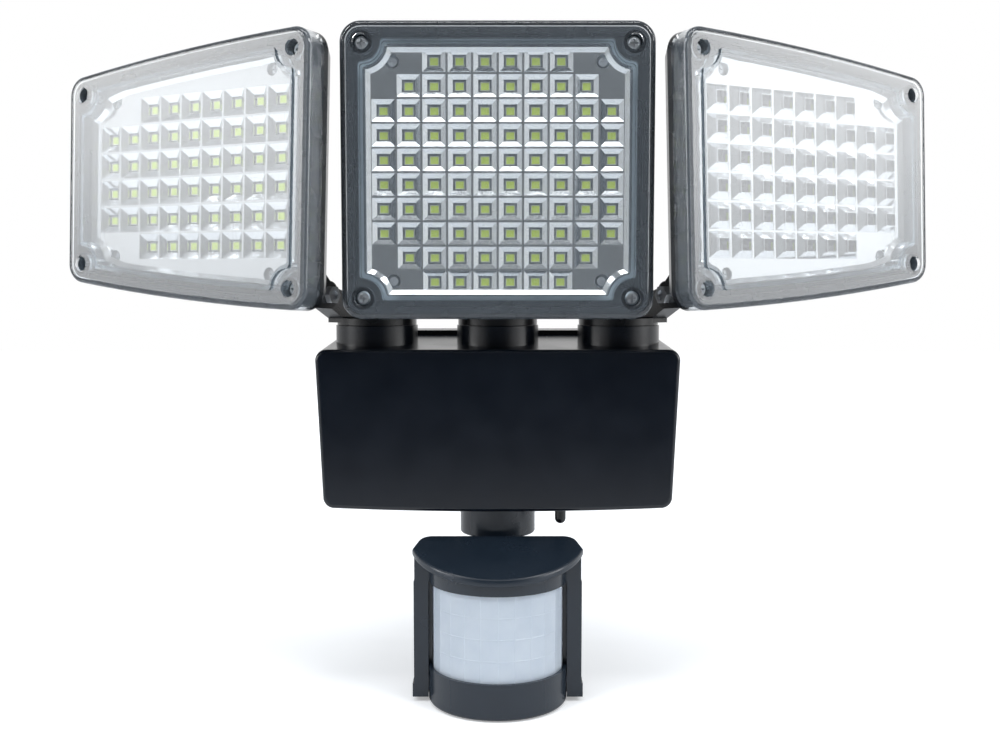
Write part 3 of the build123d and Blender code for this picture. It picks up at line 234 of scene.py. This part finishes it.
# ---- Where the lamp heads' new pieces go, in millimetres, in each head's own frame ----
BOARD_TOP = -1.1        # LED board's face, from the shell's rim
RIDGE = 2.4             # tops of the reflector's ridges
RIM_TOP = 3.7           # top of the reflector's sloping rim
RIDGE_HALF = 0.45
HOLE = 4.8              # square hole round each LED
CELL_FALL = 0.6         # fall of a cell's sloping walls, above the straight well
WELL_LEAN = 0.06        # how far a well's walls lean in
WELL_GAP = 0.4          # from a well's foot to the board
TRAY_INSET = 9.1
RIM_EDGE = 0.2          # from the tray's outline in to the rim's top
PLATE_EDGE = 1.3        # and to the plate
RIM_FOOT = 2.0          # and to the rim's foot
RIM_SINK = 0.1          # the rim's foot below the ridges
PLATE_LOW = 0.8         # the plate's underside below the ridges
PLATE_T = 0.78
SHEET_T = 0.3           # thickness of the rim and of the cells' walls
CELL_LAP = 0.2
SCREW_HOLE_R = 2.7
CUT_DEPTH = 8           # cutters go right through the plate
NOTCH_R = 7.5
NOTCH_STEPS = 8
EDGE_STEPS = 10
SEAL_INSET = 7.0
BOSS_INSET = 8.0
COVER_SCREW_Z = 3.0     # where a cover screw's head sits

# Each shape's size, how far its long edges bow out, its LEDs' pitch and columns, how many LEDs each row
# leaves out at its outer and its inner end, and how far the board screws are in from the corners.
SHAPES = {
    "centre": {"length": 120.0, "inner": 113.0, "outer": 113.0, "bow": 0.0,
               "pitch": (9.8, 9.4), "columns": 10,
               "gaps": ((2, 2), (1, 1), (0, 0), (0, 0), (0, 0), (0, 0), (0, 0), (0, 0), (1, 1), (2, 2)),
               "screw": (19.5, 14.5)},
    "wing": {"length": 126.0, "inner": 106.0, "outer": 83.5, "bow": 1.8,
             "pitch": (11.1, 11.1), "columns": 9,
             "gaps": ((2, 0), (0, 0), (0, 0), (0, 0), (0, 0), (2, 0)), "screw": (22.0, 13.0)},
}

CENTRE_PLACE = (0, -89.0, 101.4)
TURRET_X = 50.5                     # a side turret's axis, out from the middle
TURRET_Y = -57.0
WING_SWING = math.radians(29.3)
WING_TIP = math.radians(2.9)
PIN_SHIFT = 10.0                    # a side head's tilt pin, from its turret's axis
PIN_REACH = 29.2
PIN_HEIGHT = 54.0
PIN_BEHIND = -22.5                  # the pin, from the shell's rim
WING_MIDDLE = 101.0                 # height of a side head's middle
WING_OUT = 43.0                     # from the pin to a side head's middle


def upright():
    """Turns a head's own axes (across, up, out of its face) into the light's."""
    return Matrix(((1, 0, 0, 0), (0, 0, -1, 0), (0, 1, 0, 0), (0, 0, 0, 1)))


def wing_frame(side):
    """A side head's own frame: on its turret, swung out, tipped up a little on its pin. side is -1 or 1."""
    pin_below = (WING_MIDDLE - PIN_HEIGHT) + PIN_BEHIND * math.sin(WING_TIP)
    return (Matrix.Translation((side * TURRET_X, TURRET_Y, 0)) @ Matrix.Rotation(side * WING_SWING, 4, "Z")
            @ Matrix.Translation((side * PIN_SHIFT, -PIN_REACH, PIN_HEIGHT))
            @ Matrix.Rotation(-WING_TIP, 4, "X")
            @ upright() @ Matrix.Translation((side * WING_OUT, pin_below, -PIN_BEHIND)))


HEADS = {
    "centre": (SHAPES["centre"], Matrix.Translation(CENTRE_PLACE) @ upright(), 1),
    "left": (SHAPES["wing"], wing_frame(-1), 1),
    "right": (SHAPES["wing"], wing_frame(1), -1),
}


def half_height(shape, x):
    """Half of a head's height at x."""
    share = (x + shape["length"] / 2) / shape["length"]
    straight = (shape["outer"] + (shape["inner"] - shape["outer"]) * share) / 2
    return straight + shape["bow"] * (1 - (2 * x / shape["length"]) ** 2)


def corners_of(shape, inset_x, inset_y):
    """Four points in from a head's corners."""
    places = []
    for side in (-1, 1):
        x = side * (shape["length"] / 2 - inset_x)
        for up in (1, -1):
            places.append((x, up * (half_height(shape, x) - inset_y)))
    return places


def cells(shape):
    """Where a head's LEDs stand."""
    rows, places = len(shape["gaps"]), []
    for row, (outer_gap, inner_gap) in enumerate(shape["gaps"]):
        for column in range(outer_gap, shape["columns"] - inner_gap):
            places.append(((column - (shape["columns"] - 1) / 2) * shape["pitch"][0],
                           ((rows - 1) / 2 - row) * shape["pitch"][1]))
    return places


# ---- Modelling helpers ----
FACING = 0.9                        # least share of a normal that faces a way
SMOOTH_BELOW = math.radians(14)     # gentler angles than this are smoothed


def faces_up(middle, normal):
    """Picks the faces that look up."""
    return normal.z > FACING


def faces_down(middle, normal):
    """Picks the faces that look down."""
    return normal.z < -FACING


def any_face(middle, normal):
    """Picks every face."""
    return True


def box(size, place, turn=0.0):
    """A box at a place, turned about its upright axis."""
    bpy.ops.object.select_all(action="DESELECT")
    bpy.ops.mesh.primitive_cube_add(size=1.0, location=place, rotation=(0, 0, turn), scale=size)
    bpy.ops.object.transform_apply(location=True, rotation=True, scale=True)
    return bpy.context.active_object


def round_bar(radius, depth, place, sides):
    """An upright cylinder round a place."""
    bpy.ops.object.select_all(action="DESELECT")
    bpy.ops.mesh.primitive_cylinder_add(vertices=sides, radius=radius, depth=depth, location=place)
    bpy.ops.object.transform_apply(location=True, rotation=True, scale=True)
    return bpy.context.active_object


def arc(x, y, radius, start, sweep, steps):
    """Points along an arc."""
    angles = [start + sweep * step / steps for step in range(steps + 1)]
    return [(x + radius * math.cos(angle), y + radius * math.sin(angle)) for angle in angles]


def start_piece(name):
    """Names the new primitive, sets the choice to faces and leaves none selected."""
    piece = bpy.context.active_object
    piece.name = name
    bpy.ops.object.mode_set(mode="EDIT")
    bpy.ops.mesh.select_mode(type="FACE")
    bpy.ops.mesh.select_all(action="DESELECT")
    bpy.ops.object.mode_set(mode="OBJECT")
    return piece


def pick(piece, test):
    """Selects the faces whose middle and normal pass a test, and leaves the piece in edit mode."""
    for face in piece.data.polygons:
        face.select = test(face.center, face.normal)
    bpy.ops.object.mode_set(mode="EDIT")


def extrude(rise):
    """Extrudes what is selected upward."""
    bpy.ops.mesh.extrude_region_move(TRANSFORM_OT_translate={"value": (0, 0, rise)})
    bpy.ops.object.mode_set(mode="OBJECT")


def finished(piece, *modifiers):
    """Adds modifiers with their settings and applies them, and smooths the gentle angles."""
    bpy.ops.object.select_all(action="DESELECT")
    piece.select_set(True)
    bpy.context.view_layer.objects.active = piece
    for kind, settings in modifiers:
        modifier = piece.modifiers.new(kind.lower(), kind)
        for key, value in settings.items():
            setattr(modifier, key, value)
        bpy.ops.object.modifier_apply(modifier=modifier.name)
    bpy.ops.object.shade_smooth_by_angle(angle=SMOOTH_BELOW)
    return piece


def cut_away(piece, cutter):
    """Takes one closed form out of another, and deletes the cutter."""
    finished(piece, ("BOOLEAN", {"object": cutter, "operation": "DIFFERENCE", "solver": "EXACT"}))
    bpy.data.objects.remove(cutter, do_unlink=True)


def closed_up(piece):
    """Turns a piece's normals outward."""
    bpy.ops.object.mode_set(mode="EDIT")
    bpy.ops.mesh.select_all(action="SELECT")
    bpy.ops.mesh.normals_make_consistent(inside=False)
    bpy.ops.object.mode_set(mode="OBJECT")
    return piece


def joined(parts):
    """Joins parts into the first of them."""
    bpy.ops.object.select_all(action="DESELECT")
    for part in parts:
        part.select_set(True)
    bpy.context.view_layer.objects.active = parts[0]
    if len(parts) > 1:
        bpy.ops.object.join()
    return bpy.context.active_object


def set_out(model, name, places, body, slot_name, finishes, *nodes):
    """Copies a model to many places as one piece that rides on a body and stands for CAD nodes."""
    copies = []
    for place in places:
        mesh = model.data.copy()
        mesh.transform(place)
        for finish in finishes:
            mesh.materials.append(finish)
        thing = bpy.data.objects.new(name, mesh)
        bpy.context.collection.objects.link(thing)
        copies.append(thing)
    piece = joined(copies)
    piece.name = name
    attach(piece, body)
    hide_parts(*nodes)


def spot(frame_matrix, x, y, z):
    """A place in a head's frame, in metres in the light's frame."""
    return Matrix.Scale(MM, 4) @ frame_matrix @ Matrix.Translation((x, y, z))


# ---- LED packages: a pale body with a shallow pool of phosphor ----
LED_LONG, LED_WIDE, LED_T = 3.6, 3.3, 0.9
LED_FRAME = 0.2         # width of the pale frame
POOL_WALL = 0.08
POOL_DEPTH = 0.12


def led_package():
    """One package on the board, its pool in the second material."""
    box((LED_LONG, LED_WIDE, LED_T), (0, 0, LED_T / 2))
    package = start_piece("led_package_model")
    pick(package, faces_up)
    bpy.ops.mesh.inset(thickness=LED_FRAME, depth=0.0)
    bpy.ops.mesh.inset(thickness=POOL_WALL, depth=-POOL_DEPTH)
    bpy.ops.object.mode_set(mode="OBJECT")
    for face in package.data.polygons:
        in_middle = max(abs(face.center.x), abs(face.center.y)) < POOL_WALL
        face.material_index = 1 if in_middle and faces_up(face.center, face.normal) else 0
    return package


# ---- Screws with a cross recess ----
HEAD_SIDES = 28
CROWN_INSET = 0.22      # the head's flat crown is in from its edge, in shares of its radius
CROWN_RISE = 0.001      # and the rest in shares of its thickness
SHOULDER = 0.66
RECESS_LONG = 1.15      # the recess, in shares of the head's radius
RECESS_WIDE = 0.24


def cross_screw(name, head_r, head_t, shank_r, shank_l):
    """Pan head at z 0 and up with a cross recess, and its shank below."""
    round_bar(head_r, head_t, (0, 0, head_t / 2), HEAD_SIDES)
    screw = start_piece(name)
    pick(screw, faces_up)
    bpy.ops.mesh.inset(thickness=head_r * CROWN_INSET, depth=0.0)
    bpy.ops.transform.translate(value=(0, 0, head_t * CROWN_RISE))
    bpy.ops.object.mode_set(mode="OBJECT")
    for vertex in screw.data.vertices:
        if vertex.co.z > head_t / 2 and vertex.co.xy.length > head_r * (1 - CROWN_INSET / 2):
            vertex.co.z = head_t * SHOULDER
    pick(screw, faces_down)
    bpy.ops.mesh.inset(thickness=head_r - shank_r, depth=0.0)
    extrude(-shank_l)
    for turn in (0, math.pi / 2):
        cut_away(screw, box((head_r * RECESS_LONG, head_r * RECESS_WIDE, head_t), (0, 0, head_t), turn))
    return screw


# ---- Reflector trays: a bright plate, a sloping rim, and a square cell round each LED ----
def notched_loop(shape, inset, mirror):
    """Points along a head's outline, drawn in, with a round notch at each screw boss."""
    radius = NOTCH_R + inset - SEAL_INSET
    drop = inset - BOSS_INSET
    reach = math.sqrt(radius ** 2 - drop ** 2)
    signs = ((-1, 1), (-1, -1), (1, 1), (1, -1))
    arcs = []
    for (x, y), (across, up) in zip(corners_of(shape, BOSS_INSET, BOSS_INSET), signs):
        first = math.atan2(-up * reach, -across * drop)
        last = math.atan2(-up * drop, -across * reach)
        sweep = (last - first + math.pi) % (2 * math.pi) - math.pi
        arcs.append(arc(x, y, radius, first, sweep, NOTCH_STEPS))
    top_left, low_left, top_right, low_right = arcs

    def run(start, end, sign):
        """Points between two notches along a bowed edge."""
        places = [start + (end - start) * step / EDGE_STEPS for step in range(1, EDGE_STEPS)]
        return [(x, sign * (half_height(shape, x) - inset)) for x in places]
    points = (top_left + run(top_left[-1][0], top_right[-1][0], 1) + top_right[::-1]
              + low_right + run(low_right[-1][0], low_left[-1][0], -1) + low_left[::-1])
    return [(mirror * x, y) for x, y in points]


def outline_sheet(name, points, z, fill):
    """A loop of points at one height, open or filled."""
    bpy.ops.object.select_all(action="DESELECT")
    bpy.ops.mesh.primitive_circle_add(vertices=len(points), radius=1, fill_type=fill)
    sheet = start_piece(name)
    for vertex, (x, y) in zip(sheet.data.vertices, points):
        vertex.co = (x, y, z)
    return sheet


def rim_wall(shape, mirror):
    """Sloping rim round the cells, thin walled, rising towards the cover."""
    low = notched_loop(shape, TRAY_INSET + RIM_FOOT, mirror)
    high = notched_loop(shape, TRAY_INSET + RIM_EDGE, mirror)
    rim = outline_sheet("rim_model", low, RIDGE - RIM_SINK, "NOTHING")
    bpy.ops.object.mode_set(mode="EDIT")
    bpy.ops.mesh.select_mode(type="EDGE")
    bpy.ops.mesh.select_all(action="SELECT")
    extrude(RIM_TOP - RIDGE + RIM_SINK)
    for vertex in rim.data.vertices:
        if vertex.co.z > (RIDGE + RIM_TOP) / 2:
            nearest = min(range(len(low)),
                          key=lambda i: (low[i][0] - vertex.co.x) ** 2 + (low[i][1] - vertex.co.y) ** 2)
            vertex.co.x, vertex.co.y = high[nearest]
    closed_up(rim)
    return finished(rim, ("SOLIDIFY", {"thickness": SHEET_T, "offset": 0.0}))


def face_plate(shape, mirror):
    """Plate level with the ridges, from the rim in to the cells, with holes for the board screws."""
    edge = notched_loop(shape, TRAY_INSET + PLATE_EDGE, mirror)
    plate = outline_sheet("plate_model", edge, RIDGE - PLATE_LOW, "NGON")
    pick(plate, any_face)
    extrude(PLATE_T)
    closed_up(plate)
    gaps, rows, (pitch_x, pitch_y) = shape["gaps"], len(shape["gaps"]), shape["pitch"]

    def lap(row, neighbour):
        """A row's opening stops short of its cells' edge, but runs on into a row as wide or wider."""
        is_end = not 0 <= neighbour < rows
        return CELL_LAP if is_end or gaps[row] < gaps[neighbour] else -CELL_LAP
    for row, (outer_gap, inner_gap) in enumerate(gaps):
        left = (outer_gap - shape["columns"] / 2) * pitch_x + CELL_LAP
        right = (shape["columns"] / 2 - inner_gap) * pitch_x - CELL_LAP
        low = (rows / 2 - row - 1) * pitch_y + lap(row, row + 1)
        high = (rows / 2 - row) * pitch_y - lap(row, row - 1)
        cut_away(plate, box((right - left, high - low, CUT_DEPTH),
                            (mirror * (left + right) / 2, (low + high) / 2, RIDGE)))
    for x, y in corners_of(shape, *shape["screw"]):
        cut_away(plate, round_bar(SCREW_HOLE_R, CUT_DEPTH, (mirror * x, y, RIDGE), 40))
    return plate


def cell_grid(shape, mirror):
    """Square cells in one sheet: each face is inset to its ridge, then along a slope, then along a well.

    With mirror 1 they fall to the board. Mirror -1 turns the faces over, so there they rise to the cover.
    """
    rows, (pitch_x, pitch_y) = len(shape["gaps"]), shape["pitch"]
    bpy.ops.object.select_all(action="DESELECT")
    bpy.ops.mesh.primitive_grid_add(x_subdivisions=shape["columns"], y_subdivisions=rows, size=2.0)
    grid = start_piece("grid_model")
    for vertex in grid.data.vertices:
        vertex.co = (mirror * vertex.co.x * shape["columns"] * pitch_x / 2,
                     vertex.co.y * rows * pitch_y / 2, RIDGE)
    kept = [(mirror * x, y) for x, y in cells(shape)]

    def holds_no_led(middle, normal):
        """Picks the faces that no LED stands under."""
        return min(math.hypot(middle.x - x, middle.y - y) for x, y in kept) > 1
    pick(grid, holds_no_led)
    bpy.ops.mesh.delete(type="FACE")
    bpy.ops.mesh.select_all(action="SELECT")
    slope = (pitch_y - 2 * RIDGE_HALF - HOLE) / 2
    well = RIDGE - BOARD_TOP - WELL_GAP - CELL_FALL * slope
    for inward, down in ((RIDGE_HALF, 0.0), (slope, CELL_FALL * slope), (WELL_LEAN, well)):
        bpy.ops.mesh.inset(thickness=inward, depth=-down, use_individual=True)
    bpy.ops.mesh.delete(type="FACE")
    bpy.ops.object.mode_set(mode="OBJECT")
    return finished(grid, ("SOLIDIFY", {"thickness": SHEET_T, "offset": -1.0}))


def reflector_tray(shape, mirror):
    """Plate, rim and cells as one moulding."""
    return closed_up(joined([face_plate(shape, mirror), rim_wall(shape, mirror), cell_grid(shape, mirror)]))


# ---- Sensor, in millimetres in the light's frame ----
LENS_Y = -82.0                      # axis of the lens
LENS_R = 26.45
LENS_BANDS = (-97.0, -87.1, -78.6, -70.1, -60.2)    # heights of the lines between the rows of facets
LENS_COLUMNS = 12
LENS_HALF = math.radians(89)        # half of what the lens goes round
LENS_T = 0.8
FACET_EDGE = 0.16
FACET_STEP, FACET_DEPTH = 0.14, 0.07

HOOD_FRONT_Y, HOOD_FRONT_Z = -112.0, -53.7
HOOD_LONG, HOOD_RISE = 37.0, 9.2
HOOD_LOW = -61.0                    # foot of the skirt and the cheeks
HOOD_LIP = 3.4                      # thickness of the lipped top
FRONT_R, FRONT_Y = 35.6, -76.4      # round front edge of the top
FRONT_START, FRONT_SWEEP = math.radians(195.6), math.radians(148.8)
CORNER_R, CORNER_X, CORNER_Y = 6.0, 26.54, -81.0    # round rear corners
CORNER_START, CORNER_SWEEP = math.radians(16.7), math.radians(73.3)
LIP_ROUND = 1.0
SHARP = math.radians(50)            # edges sharper than this are rounded
CHEEK_SHARE = 0.985                 # the cheeks' outline against the top's
CHEEK_X, CHEEK_INNER_X = 34.1, 27.2
CHEEK_FRONT_Y, CHEEK_STEP_Y = -86.0, -78.0
SKIRT_R, SKIRT_INNER_R = 27.9, 26.6
SKIRT_STEPS = 40
UNDER_TOP = 1.0                     # skirt and cheeks end this far below the hood's top
START_LIFT = 4.0                    # first height of a form before its top follows the hood


def faceted_lens():
    """Milky half-round lens in rows of flat facets, each with a fine step round it."""
    rows = len(LENS_BANDS) - 1
    bpy.ops.object.select_all(action="DESELECT")
    bpy.ops.mesh.primitive_grid_add(x_subdivisions=LENS_COLUMNS, y_subdivisions=rows, size=2.0)
    lens = start_piece("faceted_lens")
    for vertex in lens.data.vertices:
        angle = vertex.co.x * LENS_HALF
        band = round((vertex.co.y + 1) / 2 * rows)
        vertex.co = (LENS_R * math.sin(angle), LENS_Y - LENS_R * math.cos(angle), LENS_BANDS[band])
    pick(lens, any_face)
    bpy.ops.mesh.inset(thickness=FACET_EDGE, depth=0.0, use_individual=True)
    bpy.ops.mesh.inset(thickness=FACET_STEP, depth=-FACET_DEPTH, use_individual=True)
    bpy.ops.object.mode_set(mode="OBJECT")
    finished(lens, ("SOLIDIFY", {"thickness": LENS_T, "offset": -1.0}))
    return closed_up(lens)


def hood_height(y):
    """Height of the hood's top at y."""
    return HOOD_FRONT_Z + HOOD_RISE * (y - HOOD_FRONT_Y) / HOOD_LONG


def both_sides(points):
    """Points on the right, then their mirror images on the left in reverse order."""
    return points + [(-x, y) for x, y in points[::-1]]


def raised(name, points):
    """An outline extruded from the hood's foot up to just under its top."""
    form = outline_sheet(name, points, HOOD_LOW, "NGON")
    pick(form, any_face)
    extrude(START_LIFT)
    for vertex in form.data.vertices:
        if vertex.co.z > HOOD_LOW + START_LIFT / 2:
            vertex.co.z = hood_height(vertex.co.y) - UNDER_TOP
    return closed_up(form)


def sensor_hood():
    """Sloping top with a thin lip, cheeks over the case and a skirt round the lens, as one moulding."""
    corner = arc(CORNER_X, CORNER_Y, CORNER_R, CORNER_START, CORNER_SWEEP, 8)
    front = arc(0, FRONT_Y, FRONT_R, FRONT_START, FRONT_SWEEP, 32)
    top = outline_sheet("hood_model", front + both_sides(corner), 0, "NGON")
    for vertex in top.data.vertices:
        vertex.co.z = hood_height(vertex.co.y) - HOOD_LIP
    pick(top, any_face)
    extrude(HOOD_LIP)
    closed_up(top)
    finished(top, ("BEVEL", {"width": LIP_ROUND, "segments": 3, "limit_method": "ANGLE",
                             "angle_limit": SHARP}))
    rear = [(CHEEK_SHARE * x, LENS_Y + CHEEK_SHARE * (y - LENS_Y))
            for x, y in [(CHEEK_X, CHEEK_FRONT_Y)] + corner]
    inner = [(-CHEEK_INNER_X, CHEEK_FRONT_Y), (-CHEEK_INNER_X, CHEEK_STEP_Y),
             (CHEEK_INNER_X, CHEEK_STEP_Y), (CHEEK_INNER_X, CHEEK_FRONT_Y)]
    cheeks = raised("cheeks_model", both_sides(rear) + inner)
    outside, inside = (arc(0, LENS_Y, radius, math.pi, math.pi, SKIRT_STEPS)
                       for radius in (SKIRT_R, SKIRT_INNER_R))
    skirt = raised("skirt_model", outside + inside[::-1])
    return finished(joined([top, cheeks, skirt]))


# ---- Setting the pieces out ----
package = led_package()
cover_screw = cross_screw("cover_screw_model", head_r=2.7, head_t=2.0, shank_r=1.4, shank_l=11.0)
board_screw = cross_screw("board_screw_model", head_r=2.2, head_t=1.6, shank_r=1.1, shank_l=7.6)
models = [package, cover_screw, board_screw]
for side, (shape, matrix, mirror) in HEADS.items():
    body = f"{side}_head"
    set_out(package, f"{side}_led_packages",
            [spot(matrix, mirror * x, y, BOARD_TOP) for x, y in cells(shape)],
            body, "led_package", (CERAMIC, PHOSPHOR), f"{side}_leds")
    bosses = corners_of(shape, BOSS_INSET, BOSS_INSET)
    set_out(cover_screw, f"{side}_cover_cross_screws",
            [spot(matrix, mirror * x, y, COVER_SCREW_Z) for x, y in bosses],
            body, "screw", (ZINC,), f"{side}_cover_screws")
    set_out(board_screw, f"{side}_board_cross_screws",
            [spot(matrix, mirror * x, y, BOARD_TOP) for x, y in corners_of(shape, *shape["screw"])],
            body, "screw", (ZINC,), f"{side}_board_screws")
    tray = reflector_tray(shape, mirror)
    set_out(tray, f"{side}_reflector_tray", [spot(matrix, 0, 0, 0)], body, "reflector", (MIRROR,),
            f"{side}_reflector")
    models.append(tray)
lens = faceted_lens()
set_out(lens, "lens_facets", [Matrix.Scale(MM, 4)], "sensor", "lens", (LENS,), "sensor_lens")
hood = sensor_hood()
set_out(hood, "lipped_hood", [Matrix.Scale(MM, 4)], "sensor", "slate_plastic", (SLATE,), "sensor_hood")
models += [lens, hood]
for model in models:
    bpy.data.objects.remove(model, do_unlink=True)


# ---- Camera, as solved from the photo ----
FOCAL_PX, PHOTO_PX = 1200.0, 1000.0     # focal length and the photo's width
CAMERA_PLACE = (0.0, -0.560, 0.0624)
CAMERA_DOWN = 4.83                      # degrees below level

view = bpy.data.cameras.new("photo_camera")
view.sensor_width = 36.0
view.lens = view.sensor_width * FOCAL_PX / PHOTO_PX
view.shift_x = 0.0023
view.clip_start, view.clip_end = 0.01, 20.0
camera = bpy.data.objects.new("photo_camera", view)
bpy.context.collection.objects.link(camera)
camera.location = CAMERA_PLACE
camera.rotation_euler = (math.radians(90 - CAMERA_DOWN), 0.0, 0.0)
bpy.context.scene.camera = camera


# ---- Floor and studio light, in metres ----
FLOOR_SIZE = 2.6
FLOOR_PLACE = (0, 0.78, -0.1106)        # cut off in front, so that the housing mirrors the dark front


def pale_floor():
    """Pale floor. What the camera sees of it is lifted to white, more so further off, shadow and all."""
    bpy.ops.object.select_all(action="DESELECT")
    bpy.ops.mesh.primitive_plane_add(size=FLOOR_SIZE, location=FLOOR_PLACE)
    floor = bpy.context.active_object
    floor.name = "floor"
    bpy.ops.object.transform_apply(location=True, rotation=True, scale=True)
    material, tree, output, place = finish_named("pale_paper")
    paper = add(tree, "ShaderNodeBsdfDiffuse", {"Color": tone("#f4f6f8")}).outputs[0]
    away = add(tree, "ShaderNodeVectorMath", None, {0: place}, operation="LENGTH").outputs["Value"]
    lift = add(tree, "ShaderNodeEmission", {"Color": tone("#ffffff")},
               {"Strength": ramp(tree, away, 0.15, 0.8, 0.30, 0.7)})
    lifted = add(tree, "ShaderNodeAddShader", None, {0: paper, 1: lift.outputs[0]}).outputs[0]
    by_camera = add(tree, "ShaderNodeLightPath").outputs["Is Camera Ray"]
    tree.links.new(chosen(tree, by_camera, paper, lifted), output.inputs["Surface"])
    floor.data.materials.append(material)


def soft_box(name, place, aim, width, height, power):
    """Rectangular soft light that points at a spot."""
    lamp = bpy.data.lights.new(name, "AREA")
    lamp.shape = "RECTANGLE"
    lamp.size, lamp.size_y = width, height
    lamp.energy = power
    thing = bpy.data.objects.new(name, lamp)
    bpy.context.collection.objects.link(thing)
    thing.location = place
    thing.rotation_euler = (Vector(aim) - Vector(place)).to_track_quat("-Z", "Y").to_euler()


def mirrored_room(tree, path):
    """Brightness of the room in gloss and glass: dark in front, dimmer above, brighter on the right.

    Rays that have not passed a clear piece also see bright panels at both sides, brighter higher up.
    A ramp's first two numbers are shares of a ray's direction along an axis, and the next two are brightness.
    """
    way = add(tree, "ShaderNodeTexCoord").outputs["Generated"]
    axes = add(tree, "ShaderNodeSeparateXYZ", None, {"Vector": way}).outputs
    direct = add(tree, "ShaderNodeMath", {1: 0.5}, {0: path["Transmission Depth"]},
                 operation="LESS_THAN").outputs[0]
    outside = ramp(tree, axes["Y"], -0.95, -0.6, 0.04, 1.0)
    inside = ramp(tree, axes["Y"], -0.98, -0.8, 0.13, 1.0)
    front = add(tree, "ShaderNodeMix", None, {"Factor": direct, "A": inside, "B": outside}).outputs[0]
    ceiling = ramp(tree, axes["Z"], 0.3, 0.8, 1.0, 0.35)
    wall = ramp(tree, axes["X"], -0.9, 0.3, 0.75, 1.1)
    plain = worked(tree, "MULTIPLY", worked(tree, "MULTIPLY", front, ceiling), wall)
    sideways = add(tree, "ShaderNodeMath", None, {0: axes["X"]}, operation="ABSOLUTE").outputs[0]
    panels = ramp(tree, sideways, 0.80, 0.93)
    ahead = ramp(tree, axes["Y"], -0.02, -0.15)
    above = ramp(tree, axes["Z"], -0.04, 0.03)
    glow = ramp(tree, axes["Z"], -0.02, 0.24, 2.8, 8.5)
    for part in (ahead, above, glow, direct):
        panels = worked(tree, "MULTIPLY", panels, part)
    return worked(tree, "ADD", plain, panels)


def studio_world():
    """White behind for the camera, an even fill for dull surfaces, and a room to mirror for the rest."""
    world = bpy.data.worlds.new("studio")
    bpy.context.scene.world = world
    world.use_nodes = True
    tree = world.node_tree
    tree.nodes.clear()
    output = tree.nodes.new("ShaderNodeOutputWorld")
    path = add(tree, "ShaderNodeLightPath").outputs
    mirrored = add(tree, "ShaderNodeBackground", {"Color": tone("#ffffff")},
                   {"Strength": mirrored_room(tree, path)}).outputs[0]
    fill = add(tree, "ShaderNodeBackground", {"Color": tone("#f6faff"), "Strength": 0.6}).outputs[0]
    seen = add(tree, "ShaderNodeBackground", {"Color": tone("#ffffff"), "Strength": 1.0}).outputs[0]
    bent = worked(tree, "MAXIMUM", path["Is Glossy Ray"], path["Is Transmission Ray"])
    unseen = chosen(tree, bent, fill, mirrored)
    tree.links.new(chosen(tree, path["Is Camera Ray"], unseen, seen), output.inputs["Surface"])


pale_floor()
studio_world()
soft_box("left_box", place=(-0.85, -0.75, 0.95), aim=(0, -0.08, 0.05), width=0.5, height=0.5, power=6.0)
soft_box("right_box", place=(0.85, -0.75, 0.95), aim=(0, -0.08, 0.05), width=0.5, height=0.5, power=7.0)
soft_box("top_box", place=(0.0, -0.35, 1.3), aim=(0, -0.06, 0.0), width=0.8, height=0.5, power=6.0)
bpy.context.scene.view_settings.view_transform = "Standard"
